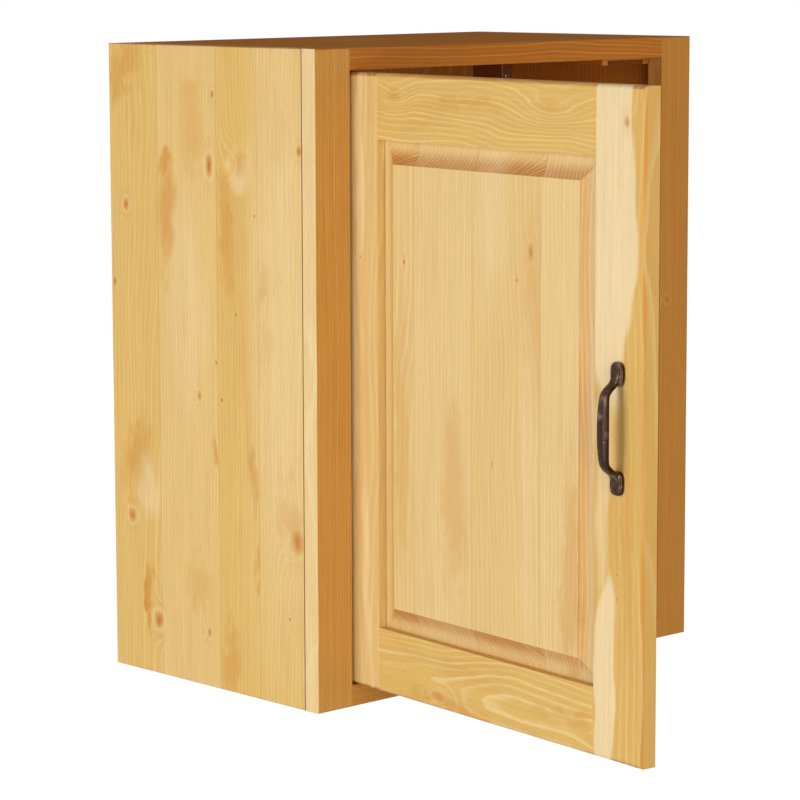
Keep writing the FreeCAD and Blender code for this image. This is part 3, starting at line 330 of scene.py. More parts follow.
@dataclass(frozen=True)
class Knot:
    """A knot: its place along and across the board, its radius and how dark it is."""

    along: float
    across: float
    radius: float
    dark: float = 1.0
    stretch: float = 1.5


@dataclass(frozen=True)
class Spot:
    """An oval patch: its middle, half its length and width, its strength and its softness."""

    along: float
    across: float
    half_long: float
    half_wide: float
    strength: float = 1.0
    soft: float = 0.6


@dataclass(frozen=True)
class BoardLook:
    """What one board shows: how it lies, its staves, knots, stains, and pale flames, some of which are
    painted light.
    """

    node: str
    lie: Lie
    wide: float
    cut: Cut = Cut.QUARTER
    tone: Tone = Tone.STRAW
    joints: tuple[float, ...] = ()
    knots: tuple[Knot, ...] = ()
    stains: tuple[Spot, ...] = ()
    flames_and_light: tuple[Spot, ...] = ()
    ring: float = 3.0
    wander: float = 5.0
    lean: float = 0.03
    figure: float = 1.0
    seed: int = 1
    lines: tuple[float, ...] = ()
    deep: float = 1.0
    gloss: float = FULL_GLOSS
    # The next field gives a face that is painted lighter as lit.
    lit_face: Triple | None = None
    # The next field gives an inner face that is painted amber as shade.
    shaded_inner_face: Triple | None = None


def knots_at(*rows: Sequence[float]) -> tuple[Knot, ...]:
    """Knots from their values."""
    return tuple(Knot(*row) for row in rows)


def spots_at(*rows: Sequence[float]) -> tuple[Spot, ...]:
    """Patches from their values."""
    return tuple(Spot(*row) for row in rows)


class WoodNodes:
    """The node groups that every board shares."""

    def __init__(self) -> None:
        """Draw the three groups once."""
        self.grain = self.draw_grain()
        self.knot = self.draw_knot()
        self.spot = self.draw_spot()

    def draw_grain(self) -> bpy.types.NodeTree:
        """Growth rings round a pith, with a pale line where each ring ends."""
        sheet, given, result = new_group("growth_rings", ("Ring", "Wander", "Lift", "Deep"),
                                         ("Place", "Pith"), ("Late",))
        feed = given.outputs
        drift = sheet.scaled(sheet.drift(feed["Place"], (0.0045, 0.013, 0.013), 1.5), 4.0)
        drift = sheet.parts(sheet.vector("MULTIPLY", drift, sheet.joined(*[feed["Wander"]] * 3)))
        place, pith = sheet.parts(feed["Place"]), sheet.parts(feed["Pith"])
        across = sheet.plus(sheet.minus(place[1], pith[1]), drift[1])
        through = sheet.times(place[2], feed["Deep"])
        through = sheet.plus(sheet.minus(through, pith[2]), drift[2])
        through = sheet.math("MULTIPLY_ADD", place[0], pith[0], through)
        away = sheet.math("SQRT", sheet.plus(sheet.times(across, across),
                                             sheet.times(through, through)))
        away = sheet.plus(away, feed["Lift"])
        fine = sheet.stretched(feed["Place"], (0.02, 0.12, 0.12), 2.0)
        away = sheet.math("MULTIPLY_ADD", fine, 1.6, away)
        count = sheet.math("DIVIDE", away, feed["Ring"])
        year = sheet.add("TexWhiteNoise", {"W": sheet.math("FLOOR", count)},
                         noise_dimensions="1D").outputs[0]
        phase = sheet.math("FRACT", count)
        line = sheet.times(sheet.ease(phase, 0.45, 0.9), sheet.ease(phase, 1.0, 0.92))
        sheet.feed(result, {"Late": sheet.times(line, sheet.span(year, 0.35, 1.0))})
        return sheet.tree

    def draw_knot(self) -> bpy.types.NodeTree:
        """A knot, the grain that flows round it and the glow along the grain."""
        sheet, given, result = new_group("knot", ("Radius", "Stretch", "Dark"),
                                         ("Place", "Centre", "Warp"),
                                         ("Lift", "Core", "Rim", "Halo", "Glow"))
        feed = given.outputs
        rough = sheet.times(feed["Radius"], 0.9)
        warp = sheet.vector("MULTIPLY", feed["Warp"], sheet.joined(rough, rough, 0.0))
        apart = sheet.vector("ADD", sheet.vector("SUBTRACT", feed["Place"], feed["Centre"]), warp)
        apart = sheet.vector("DIVIDE", apart, sheet.joined(
            sheet.times(feed["Radius"], feed["Stretch"]), feed["Radius"], FAR))
        away = sheet.vector("LENGTH", apart)
        bell = sheet.math("EXPONENT", sheet.times(sheet.times(away, away), -0.22))
        halo = sheet.times(sheet.ease(away, 0.95, 1.25), sheet.ease(away, 2.0, 1.35))
        glow = sheet.vector("LENGTH", sheet.vector("MULTIPLY", apart, (0.42, 0.62, 0.0)))
        sheet.feed(result, {
            "Lift": sheet.times(sheet.times(bell, feed["Radius"]), 2.2),
            "Core": sheet.times(sheet.ease(away, 1.15, 0.5), feed["Dark"]),
            "Rim": sheet.times(sheet.ease(away, 0.65, 0.1), feed["Dark"]),
            "Halo": sheet.times(halo, feed["Dark"]),
            "Glow": sheet.times(sheet.ease(glow, 1.5, 0.2), feed["Dark"])})
        return sheet.tree

    def draw_spot(self) -> bpy.types.NodeTree:
        """An oval patch with an uneven edge."""
        sheet, given, result = new_group("spot", ("Strength", "Inner", "Outer"),
                                         ("Place", "Centre", "Reach", "Warp"), ("Mask",))
        feed = given.outputs
        apart = sheet.vector("ADD", sheet.vector("SUBTRACT", feed["Place"], feed["Centre"]),
                             feed["Warp"])
        away = sheet.vector("LENGTH", sheet.vector("DIVIDE", apart, feed["Reach"]))
        mask = sheet.ease(away, feed["Outer"], feed["Inner"])
        sheet.feed(result, {"Mask": sheet.times(mask, feed["Strength"])})
        return sheet.tree


@dataclass(frozen=True)
class WaxedSpruce:
    """Knotty spruce under honey-coloured wax. Early wood takes more colour than late wood."""

    groups: WoodNodes
    early: Colour = tint(219, 178, 96)
    late: Colour = tint(236, 209, 148)
    amber: Colour = tint(190, 116, 40)
    cream: Colour = tint(240, 218, 172)
    # The stain colour also serves as painted shade on sloped faces.
    stain_and_shade: Colour = tint(204, 144, 54)
    knot: Colour = tint(206, 136, 56)
    heart: Colour = tint(170, 94, 34)
    pore: Colour = tint(146, 90, 40)
    end_grain: Colour = tint(186, 120, 48)
    seam: Colour = tint(96, 46, 16)
    roughness: float = 0.46

    def staves(self, sheet: NodeSheet, look: BoardLook, place: Socket) -> tuple[Feed, Feed, Socket]:
        """Give each stave its own pith and shade.

        Args:
            sheet: The board's node sheet.
            look: What the board shows.
            place: Millimetres on the board.

        Returns:
            The pith as a vector, the stave's shade and the glue lines.
        """
        dice = random.Random(look.seed)
        across = sheet.parts(place)[1]
        pith, shade, glue = None, None, sheet.times(0.0, 0.0)
        edges = (0.0, *look.joints, look.wide)
        side, depth = look.cut.value
        for low, high in zip(edges, edges[1:]):
            spread = dice.uniform(0.55, 1.35)
            centre = (low + high) / 2 + dice.choice((-1, 1)) * side * spread
            own_pith = (look.lean * dice.choice((-1, 1)), centre + dice.uniform(-6, 6),
                        dice.choice((-1, 1)) * depth * dice.uniform(0.8, 1.4))
            own_shade = (dice.uniform(-1, 1), dice.uniform(-1, 1), 0.0)
            if pith is None:
                pith, shade = own_pith, own_shade
                continue
            beyond = sheet.math("GREATER_THAN", across, low)
            pith = sheet.choose(beyond, pith, own_pith)
            shade = sheet.choose(beyond, shade, own_shade)
            off = sheet.math("ABSOLUTE", sheet.minus(across, low))
            glue = sheet.most(glue, sheet.ease(off, 0.55, 0.1))
        return pith, shade, glue

    def patches(self, sheet: NodeSheet, spots: Sequence[Spot], place: Socket, warp: Socket,
                joints: Sequence[float] = ()) -> Socket:
        """The patches of one kind as a mask.

        Args:
            sheet: The board's node sheet.
            spots: The patches.
            place: Millimetres on the board.
            warp: A noise in millimetres that makes their edges uneven.
            joints: Glue lines at which a patch ends, since it belongs to one stave.

        Returns:
            The mask.
        """
        across = sheet.parts(place)[1]
        mask = sheet.times(0.0, 0.0)
        for spot in spots:
            patch = sheet.group(self.groups.spot, {
                "Place": place, "Warp": warp, "Centre": (spot.along, spot.across, 0.0),
                "Reach": (spot.half_long, spot.half_wide, FAR), "Strength": spot.strength,
                "Inner": 1 - spot.soft, "Outer": 1 + spot.soft}).outputs[0]
            for joint in joints:
                if abs(joint - spot.across) < 2.0 * spot.half_wide:
                    side = JOINT_SOFT if spot.across > joint else -JOINT_SOFT
                    patch = sheet.times(patch, sheet.ease(across, joint - side, joint + side))
            mask = sheet.most(mask, patch)
        return mask

    def knot_masks(self, sheet: NodeSheet, look: BoardLook, place: Socket,
                   swirl: Socket) -> dict[str, Socket]:
        """The masks of all knots, and how far they lift the growth rings.

        Args:
            sheet: The board's node sheet.
            look: What the board shows.
            place: Millimetres on the board.
            swirl: A noise that makes the knots uneven.

        Returns:
            The masks by the names of the knot group's results.
        """
        masks = dict.fromkeys(("Lift", "Core", "Rim", "Halo", "Glow"), sheet.times(0.0, 0.0))
        for knot in look.knots:
            made = sheet.group(self.groups.knot, {
                "Place": place, "Warp": swirl, "Centre": (knot.along, knot.across, 0.0),
                "Radius": knot.radius, "Stretch": knot.stretch, "Dark": knot.dark}).outputs
            for name, mask in masks.items():
                masks[name] = sheet.math("ADD" if name == "Lift" else "MAXIMUM", mask, made[name])
        return masks

    def amber_and_shade(self, sheet: NodeSheet, look: BoardLook, normal: Socket,
                  pale: Feed, upward: Socket) -> Feed:
        """How much amber a board carries on each face: the wax of its tone, or painted shade on its inner
        face if it has one, none on a face painted as lit, and painted shade on faces that look up.

        Args:
            sheet: The board's node sheet.
            look: What the board shows.
            normal: The direction that the surface faces.
            pale: 1 on the face that is painted lighter as if lit.
            upward: 1 on faces that look up, which take amber as painted shade.

        Returns:
            The share of amber.
        """
        depth = max(0.0, look.tone.value)
        # Painted shade: an inner face is amber all over, in place of the tone.
        if look.shaded_inner_face:
            depth = sheet.ease(sheet.vector("DOT_PRODUCT", normal, look.shaded_inner_face), 0.6, 0.8)
        # Painted light: the lit face carries no amber.
        if look.lit_face:
            depth = sheet.times(sheet.minus(1.0, pale), depth)
        # Painted shade: faces that look up take at least some amber.
        return sheet.most(depth, sheet.times(upward, 0.35))

    def material(self, look: BoardLook) -> bpy.types.Material:
        """The finish of one board.

        Args:
            look: What the board shows.

        Returns:
            The material.
        """
        material, sheet, shader = new_material(f"waxed_spruce_{look.node}")
        place = look.lie.place(sheet)
        own = sheet.vector("ADD", place, (look.seed * 731.0, look.seed * 57.0, look.seed * 13.0))
        pith, shade, glue = self.staves(sheet, look, place)
        shade = sheet.parts(shade)

        # Marks: knots, and patches with edges that wander.
        swirl = sheet.drift(own, (0.05, 0.09, 0.02), 2.0)
        bend = sheet.drift(own, (0.013, 0.02, 0.02), 1.0)
        knots = self.knot_masks(sheet, look, place, swirl)
        flames_and_light = self.patches(sheet, look.flames_and_light, place,
                              sheet.vector("MULTIPLY", bend, (120.0, 24.0, 0.0)))
        ragged = sheet.vector("ADD", sheet.vector("MULTIPLY", swirl, (90.0, 20.0, 0.0)),
                              sheet.vector("MULTIPLY", bend, (110.0, 26.0, 0.0)))
        stains = self.patches(sheet, look.stains, place, ragged, look.joints)

        # Structure of the wood, from growth rings to pores.
        late = sheet.group(self.groups.grain, {
            "Place": place, "Pith": pith, "Ring": look.ring, "Wander": look.wander,
            "Lift": knots["Lift"], "Deep": look.deep}).outputs["Late"]
        fibre = sheet.stretched(own, (0.008, 0.4, 0.4), 3.0)
        cloud = sheet.stretched(own, (0.007, 0.03, 0.03), 3.0)
        pores = sheet.stretched(own, (0.09, 1.6, 1.6), 0.0)
        faint = sheet.stretched(own, (0.004, 0.022, 0.022), 1.0)
        figure = sheet.times(late, sheet.span(faint, 0.25, 1.2))

        # Which way each face looks: end grain, sloped faces that get painted shade, and faces that look
        # up.
        normal = sheet.add("TexCoord", {}).outputs["Normal"]
        end, tilt = (sheet.math("ABSOLUTE", sheet.vector("DOT_PRODUCT", normal, tuple(way)))
                     for way in (look.lie.along, look.lie.along.cross(look.lie.across)))
        upward = sheet.ease(sheet.vector("DOT_PRODUCT", normal, tuple(UP)), 0.8, 0.95)
        # Painted shade on faces tilted off the board's face, such as the panel's coves and rounded edges.
        slope_shade = sheet.times(sheet.ease(tilt, 0.99, 0.9), sheet.ease(tilt, 0.1, 0.4))

        # Colour, from the ground up.
        colour = sheet.paint(self.early, (sheet.ease(cloud, 0.5, 0.8), 0.45, self.stain_and_shade))
        # Painted sheen: a board with a tone below 0 is blended toward cream.
        colour = sheet.blend(max(0.0, -look.tone.value), colour, self.cream)
        # Painted shade: sloped faces take the stain colour; end grain, figure, stave tones and knot halos
        # are the wood's own.
        colour = sheet.paint(
            colour, (slope_shade, 0.9, self.stain_and_shade), (sheet.ease(end, 0.05, 0.5), 0.9, self.end_grain),
            (figure, 0.85 * look.figure, self.late),
            (sheet.ease(shade[0], 0.0, 1.4), 0.24, self.stain_and_shade),
            (sheet.ease(shade[1], 0.0, 1.4), 0.26, self.cream), (knots["Halo"], 0.5, self.cream))
        # Painted light: the face that looks toward the key lamp is blended toward cream.
        pale = 0.0
        if look.lit_face:
            pale = sheet.ease(sheet.vector("DOT_PRODUCT", normal, look.lit_face), 0.6, 0.8)
            colour = sheet.paint(colour, (pale, 0.6, self.cream))
        # Amber of the wax, with painted shade on inner and upward faces and none on the lit face.
        depth = self.amber_and_shade(sheet, look, normal, pale, upward)
        clear = sheet.math("MULTIPLY_ADD", figure, -0.35, 1.0)
        colour = sheet.blend(sheet.times(depth, clear), colour, self.amber)
        streaky = sheet.times(stains, sheet.span(sheet.ease(fibre, 0.3, 0.6), 0.7, 1.25))
        colour = sheet.blend(streaky, colour, self.stain_and_shade)
        # Pale flames; some of them are painted light and painted sheen.
        colour = sheet.paint(colour, (flames_and_light, 0.85, self.cream), (knots["Glow"], 0.4, self.stain_and_shade))
        streak = sheet.span(fibre, 0.86, 1.12)
        colour = sheet.blend(1.0, colour, sheet.add(
            "CombineColor", {0: streak, 1: streak, 2: streak}).outputs[0], "MULTIPLY")
        colour = sheet.paint(colour, (sheet.ease(pores, 0.74, 0.8), 0.25, self.pore),
                             (knots["Core"], 0.9, self.knot), (knots["Rim"], 0.7, self.heart))
        lines = sheet.times(glue, 0.3)
        across = sheet.parts(place)[1]
        for line in look.lines:
            off = sheet.math("ABSOLUTE", sheet.minus(across, line))
            lines = sheet.most(lines, sheet.ease(off, 1.3, 0.7))
        colour = sheet.blend(lines, colour, self.seam)

        # Relief and gloss: late wood stands out and shines a little more.
        relief = sheet.math("MULTIPLY_ADD", late, 0.5, fibre)
        relief = sheet.minus(relief, sheet.times(knots["Rim"], 0.6))
        dull = (FULL_GLOSS - look.gloss) * 1.5
        rough = sheet.math("MULTIPLY_ADD", late, -0.08, self.roughness + dull)
        rough = sheet.math("MULTIPLY_ADD", fibre, 0.1, rough)
        rough = sheet.math("MULTIPLY_ADD", upward, 0.4, rough)
        sheet.surface(shader, colour, rough, relief, 0.25, 0.0004)
        shader.inputs["Specular IOR Level"].default_value = look.gloss
        return material


# ---------------------------------------------------------------- other finishes

@dataclass(frozen=True)
class AntiqueBronze:
    """Cast metal with a dark brown patina that is rubbed lighter where a hand holds it."""

    patina: Colour = tint(62, 46, 38)
    rubbed: Colour = tint(142, 118, 100)
    roughness: float = 0.16

    def material(self) -> bpy.types.Material:
        """The finish, with cloudy patina and the fine pits of a casting."""
        material, sheet, shader = new_material("antique_bronze")
        place = sheet.add("TexCoord", {}).outputs["Object"]
        cloud = sheet.noise(place, 70.0, 4.0).outputs[0]
        pits = sheet.noise(place, 900.0, 2.0).outputs[0]
        ridges = sheet.ease(sheet.add("NewGeometry", {}).outputs["Pointiness"], 0.5, 0.56)
        worn = sheet.ease(sheet.plus(cloud, sheet.times(ridges, 0.35)), 0.5, 0.85)
        sheet.surface(shader, sheet.blend(worn, self.patina, self.rubbed),
                      sheet.math("MULTIPLY_ADD", cloud, 0.22, self.roughness),
                      sheet.math("MULTIPLY_ADD", pits, 0.5, cloud), 0.2, 0.0002)
        shader.inputs["Metallic"].default_value = 1.0
        return material


@dataclass(frozen=True)
class BrightSteel:
    """Pressed steel with a nickel plating."""

    bright: Colour = tint(214, 212, 206)
    dull: Colour = tint(176, 172, 164)
    roughness: float = 0.16

    def material(self) -> bpy.types.Material:
        """The finish, with faint smears and fine rolling marks."""
        material, sheet, shader = new_material("bright_steel")
        place = sheet.add("TexCoord", {}).outputs["Object"]
        smear = sheet.noise(place, 45.0, 3.0).outputs[0]
        sheet.surface(shader, sheet.blend(sheet.ease(smear, 0.35, 0.7), self.bright, self.dull),
                      sheet.math("MULTIPLY_ADD", smear, 0.2, self.roughness),
                      sheet.stretched(place, (300.0, 300.0, 2400.0), 2.0), 0.08, 0.0002)
        shader.inputs["Metallic"].default_value = 1.0
        return material


@dataclass(frozen=True)
class BrownPlastic:
    """Moulded dark brown plastic with a fine spark-eroded grain."""

    colour: Colour = tint(126, 66, 42)
    lighter: Colour = tint(156, 94, 64)
    roughness: float = 0.36

    def material(self) -> bpy.types.Material:
        """The finish, with the mould's grain."""
        material, sheet, shader = new_material("brown_plastic")
        place = sheet.add("TexCoord", {}).outputs["Object"]
        cloud = sheet.noise(place, 60.0, 2.0).outputs[0]
        grain = sheet.noise(place, 1400.0, 2.0).outputs[0]
        sheet.surface(shader, sheet.paint(self.colour, (cloud, 0.5, self.lighter)),
                      sheet.math("MULTIPLY_ADD", grain, 0.12, self.roughness), grain, 0.2, 0.0002)
        return material


@dataclass(frozen=True)
class PressedFelt:
    """Pressed wool felt."""

    light: Colour = tint(134, 80, 36)
    dark: Colour = tint(92, 52, 22)

    def material(self) -> bpy.types.Material:
        """The finish, with matted fibres."""
        material, sheet, shader = new_material("pressed_felt")
        place = sheet.add("TexCoord", {}).outputs["Object"]
        matted = sheet.scaled(sheet.noise(place, 1800.0, 4.0).outputs["Color"], 0.002)
        fibres = sheet.noise(sheet.vector("ADD", place, matted), 900.0, 3.0).outputs[0]
        sheet.surface(shader, sheet.blend(sheet.ease(fibres, 0.35, 0.65), self.dark, self.light),
                      0.95, fibres, 0.5, 0.0003)
        shader.inputs["Specular IOR Level"].default_value = 0.1
        return material


# ---------------------------------------------------------------- boards

@dataclass
class Boards:
    """All boards of the cabinet and its door, each with its own grain."""

    finish: WaxedSpruce

    def side_looks(self) -> list[BoardLook]:
        """The two side panels. Places count up from the underside and back from the front."""
        left = Lie(Vector((-HALF_WIDE, -DEEP, LOW)), UP, BACKWARD)
        right = Lie(Vector((HALF_WIDE, -DEEP, LOW)), UP, BACKWARD)
        # Both panels carry painted shade on their inner faces.
        return [
            BoardLook("left_side_panel", left, 350, Cut.RIFT, Tone.STRAW, (95, 163, 265), knots=knots_at(
                (538, 322, 4.5, 0.9), (589, 175, 5.5, 0.9, 2.2), (591, 122, 12, 0.28, 1.3),
                (667, 168, 3, 0.8), (611, 26, 4, 0.9), (537, 100, 2, 0.7), (426, 132, 2, 0.8),
                (448, 344, 3.5, 0.8), (179, 317, 7, 0.75, 1.1), (63, 272, 7.5, 0.9, 1.3),
                (186, 32, 11, 0.7, 1.25), (330, 195, 4, 0.6), (329, 157, 2.2, 1.0), (370, 166, 2, 0.8),
                (62, 182, 4, 0.55), (98, 46, 1.5, 1.0), (640, 268, 1.2, 0.8), (463, 287, 1.0, 0.9)),
                stains=spots_at((606, 252, 24, 12, 0.7), (530, 250, 60, 13, 0.6),
                (525, 146, 62, 12, 0.55), (455, 86, 28, 9, 0.6), (701, 322, 34, 22, 0.55),
                (256, 306, 40, 22, 0.55), (219, 50, 34, 18, 0.6), (89, 288, 26, 7, 0.8, 0.4),
                (250, 105, 34, 5, 0.75, 0.5), (144, 98, 22, 4, 0.7, 0.5), (279, 166, 18, 4, 0.6),
                (30, 144, 34, 14, 0.5), (385, 82, 26, 12, 0.4), (640, 205, 40, 16, 0.3),
                (640, 60, 30, 14, 0.3), (110, 200, 40, 20, 0.3)), flames_and_light=spots_at(
                # The long soft flame at 430 along and 56 across is painted sheen near the panel's front
                # edge.
                (224, 285, 22, 20, 0.5), (591, 121, 17, 15, 0.6), (430, 56, 330, 46, 0.5, 0.8),
                (420, 215, 110, 30, 0.3)), ring=4.6, wander=6, lean=0.035, figure=0.75, seed=7,
                lines=(21.4,), shaded_inner_face=(1.0, 0.0, 0.0)),
            BoardLook("right_side_panel", right, 350, Cut.RIFT, Tone.STRAW, (84, 171, 250),
                knots=knots_at((520, 120, 9, 0.8), (300, 214, 6, 0.9), (120, 300, 8, 0.8),
                (640, 290, 4, 0.9), (220, 60, 3, 1.0), (410, 70, 5, 0.6)), stains=spots_at(
                (500, 150, 60, 16, 0.5), (250, 260, 70, 20, 0.5), (90, 110, 40, 18, 0.5),
                (600, 220, 50, 15, 0.4)), ring=4.8, wander=6, lean=0.03, figure=0.75, seed=23,
                shaded_inner_face=(-1.0, 0.0, 0.0)),
        ]

    def carcass_looks(self) -> list[BoardLook]:
        """Top and bottom boards, back panel, shelves and door stop block."""
        floor = Lie(Vector((-HALF_WIDE, -DEEP, LOW)), RIGHT, BACKWARD)
        roof = Lie(Vector((-HALF_WIDE, -DEEP, HIGH)), RIGHT, BACKWARD)
        back = Lie(Vector((-HALF_WIDE, BACK_PANEL_FRONT, LOW)), UP, RIGHT)
        middle = Lie(Vector((-HALF_WIDE, -DEEP, LOW + SHELF_GRAIN_HEIGHT)), RIGHT, BACKWARD)
        return [
            BoardLook("bottom_board", floor, 350, Cut.RIFT, Tone.HONEY, (110, 230), knots=knots_at(
                (180, 150, 6), (420, 260, 8), (90, 280, 4)), stains=spots_at((300, 180, 90, 20, 0.5)),
                seed=31),
            # The top board's deep tone is painted shade on its unlit top.
            BoardLook("top_board", roof, 350, Cut.RIFT, Tone.DEEP, (90, 190, 280), gloss=0.06,
                knots=knots_at((140, 240, 7), (330, 130, 5), (480, 300, 8)), stains=spots_at(
                (250, 200, 90, 24, 0.6)), seed=37),
            BoardLook("back_panel", back, 600, Cut.FLAT, Tone.DEEP, (150, 310, 455), knots=knots_at(
                (200, 220, 6), (520, 380, 7), (420, 90, 4)), ring=6.0, wander=12, lean=0.05, seed=41),
            BoardLook("lower_shelf", middle, 350, Cut.RIFT, Tone.HONEY, (140, 240), knots=knots_at(
                (210, 110, 6), (450, 200, 5)), seed=43),
            BoardLook("upper_shelf", middle, 350, Cut.RIFT, Tone.HONEY, (120, 215), knots=knots_at(
                (130, 170, 7), (380, 90, 5)), seed=47),
            # The stop block's deep tone is painted shade inside the cabinet.
            BoardLook("door_stop_block", floor, 350, Cut.QUARTER, Tone.DEEP, ring=2.2, seed=53),
            BoardLook("lower_hinge_block", Lie(floor.corner, UP, BACKWARD), 350, Cut.QUARTER, Tone.HONEY,
                ring=2.4, seed=59),
            BoardLook("upper_hinge_block", Lie(floor.corner, UP, BACKWARD), 350, Cut.QUARTER, Tone.HONEY,
                ring=2.4, seed=61),
            BoardLook("carcass_dowels", floor, 350, Cut.QUARTER, Tone.STRAW, ring=1.4, seed=67),
            BoardLook("frame_dowels", floor, 350, Cut.QUARTER, Tone.STRAW, ring=1.4, seed=71),
        ]

    def frame_looks(self) -> list[BoardLook]:
        """The face frame. Its gold, amber and deep tones are partly painted warm shade on its front faces.
        """
        left = Lie(Vector((-HALF_WIDE, -DEEP, LOW)), UP, RIGHT)
        right = Lie(Vector((HALF_WIDE - STILE_WIDE, -DEEP, LOW)), UP, RIGHT)
        bottom = Lie(Vector((-HALF_WIDE, -DEEP, LOW)), RIGHT, UP)
        top = Lie(Vector((-HALF_WIDE, -DEEP, HIGH - RAIL_TALL)), RIGHT, UP)
        return [
            BoardLook("frame_left_stile", left, 50, Cut.QUARTER, Tone.GOLD, knots=knots_at(
                # Painted light on the stile's outer face, which looks toward the key lamp.
                (650, 5, 1.0, 0.8), (462, 30, 1.0, 0.8)), lit_face=(-1.0, 0.0, 0.0), ring=4.0, wander=4,
                lean=0.02, gloss=0.1, seed=73),
            BoardLook("frame_right_stile", right, 50, Cut.QUARTER, Tone.AMBER, knots=knots_at(
                (409, 13, 4.5, 0.8, 1.1)), ring=4.2, wander=4, lean=0.02, gloss=0.1, seed=79),
            BoardLook("frame_bottom_rail", bottom, 24, Cut.RIFT, Tone.AMBER, ring=4.4, gloss=0.1, seed=83),
            BoardLook("frame_top_rail", top, 24, Cut.RIFT, Tone.DEEP, ring=4.4, gloss=0.1, seed=89),
        ]

    def door_looks(self) -> list[BoardLook]:
        """The door. Places count across from its hinge edge and up from the underside."""
        upright = Lie(DOOR_CORNER, UP, DOOR_ACROSS)
        level = Lie(DOOR_CORNER, DOOR_ACROSS, UP)
        # The hinge stile and panel take the pale-sheen tone, which is painted sheen.
        return [
            BoardLook("door_hinge_stile", upright, 71, Cut.FLAT, Tone.PALE_SHEEN, flames_and_light=spots_at(
                # These flames are painted light that lifts the shade on the stile's hinge side.
                (600, 40, 170, 7, 0.6, 0.3), (330, 28, 150, 6, 0.5, 0.3), (150, 50, 110, 6, 0.5, 0.3)),
                knots=knots_at((497, 40, 1.2, 0.8)), ring=7, wander=7, lean=0.03, seed=97),
            BoardLook("door_handle_stile", upright, 493, Cut.FLAT, Tone.STRAW, knots=knots_at(
                (659, 466, 5, 0.55, 1.2), (215, 456, 1.2, 1.0), (203, 457, 1.0, 1.0),
                (190, 456, 1.1, 1.0)), flames_and_light=spots_at((600, 445, 230, 36, 1.0, 0.08),
                (110, 440, 118, 17, 0.95, 0.1), (330, 434, 110, 12, 0.6, 0.3)), stains=spots_at(
                (420, 430, 60, 7, 0.5), (250, 470, 90, 8, 0.4)), ring=9, wander=8, lean=0.035, seed=101),
            BoardLook("door_bottom_rail", level, 94, Cut.FLAT, Tone.STRAW, knots=knots_at(
                (176, 40, 5, 0.35, 2.4)), stains=spots_at((200, 34, 60, 7, 0.5), (390, 60, 50, 6, 0.4)),
                ring=3.4, wander=5, lean=0.04, seed=103),
            BoardLook("door_top_rail", level, 694, Cut.FLAT, Tone.STRAW, knots=knots_at(
                (100, 672, 8, 0.2, 1.6), (352, 668, 9, 0.12, 2.6)), stains=spots_at(
                (225, 668, 40, 8, 0.4)), ring=5.2, wander=12, lean=0.05, seed=107),
            BoardLook("door_panel", upright, 493, Cut.RIFT, Tone.PALE_SHEEN, (132, 229, 338), knots=knots_at(
                (497, 115, 2.2, 0.9), (493, 301, 1.6, 0.9), (523, 323, 4, 0.5, 2.4),
                (300, 262, 1.6, 0.7)), stains=spots_at((250, 200, 90, 18, 0.35),
                (200, 385, 110, 12, 0.45), (460, 330, 90, 16, 0.3), (320, 110, 120, 12, 0.3)),
                flames_and_light=spots_at((560, 260, 90, 26, 0.35), (300, 320, 160, 14, 0.3)), ring=5.4, wander=6,
                lean=0.03, deep=3.5, seed=109),
        ]

    def dress(self) -> None:
        """Give every board its own material."""
        for look in (*self.side_looks(), *self.carcass_looks(), *self.frame_looks(),
                     *self.door_looks()):
            dress_node(look.node, self.finish.material(look))
            log.info("%s: waxed spruce with %d knots", look.node, len(look.knots))


def dress_node(name: str, material: bpy.types.Material) -> None:
    """Give a carried-over node its finish.

    Args:
        name: The node's name.
        material: The finish.
    """
    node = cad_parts[name]
    if not node.material_slots:
        node.data.materials.append(material)
    for slot in node.material_slots:
        slot.material = material


# ---------------------------------------------------------------- shaping

def finished(form: bmesh.types.BMesh, name: str, smooth: bool = False) -> bpy.types.Object:
    """Turn a bmesh into an object at the origin.

    Args:
        form: The finished bmesh, which is freed.
        name: The name of the object.
        smooth: Whether its faces are shaded smooth.

    Returns:
        The object, linked to the scene.
    """
    mesh = bpy.data.meshes.new(name)
    form.to_mesh(mesh)
    form.free()
    for face in mesh.polygons:
        face.use_smooth = smooth
    made = bpy.data.objects.new(name, mesh)
    bpy.context.scene.collection.objects.link(made)
    return made


def settled(made: bpy.types.Object) -> None:
    """Apply all modifiers of an object to its mesh.

    Args:
        made: The object.
    """
    graph = bpy.context.evaluated_depsgraph_get()
    mesh = bpy.data.meshes.new_from_object(made.evaluated_get(graph))
    made.modifiers.clear()
    made.data = mesh


def sweep(form: bmesh.types.BMesh, outline: Sequence[Vector], places: Sequence[Matrix]) -> None:
    """Draw a closed solid whose section moves through the places in turn.

    Args:
        form: The bmesh that the solid is added to.
        outline: The section's corners on its own XY plane.
        places: Where the section goes, one matrix for each step.
    """
    corners = [form.verts.new(places[0] @ point) for point in outline]
    rim = [form.edges.new(pair) for pair in zip(corners, corners[1:] + corners[:1])]
    bmesh.ops.contextual_create(form, geom=corners)
    for before, after in zip(places, places[1:]):
        grown = bmesh.ops.extrude_edge_only(form, edges=rim)["geom"]
        corners = [item for item in grown if isinstance(item, bmesh.types.BMVert)]
        kept = set(corners)
        rim = [item for item in grown if isinstance(item, bmesh.types.BMEdge)
               and kept.issuperset(item.verts)]
        bmesh.ops.transform(form, matrix=after @ before.inverted(), verts=corners)
    bmesh.ops.contextual_create(form, geom=rim)


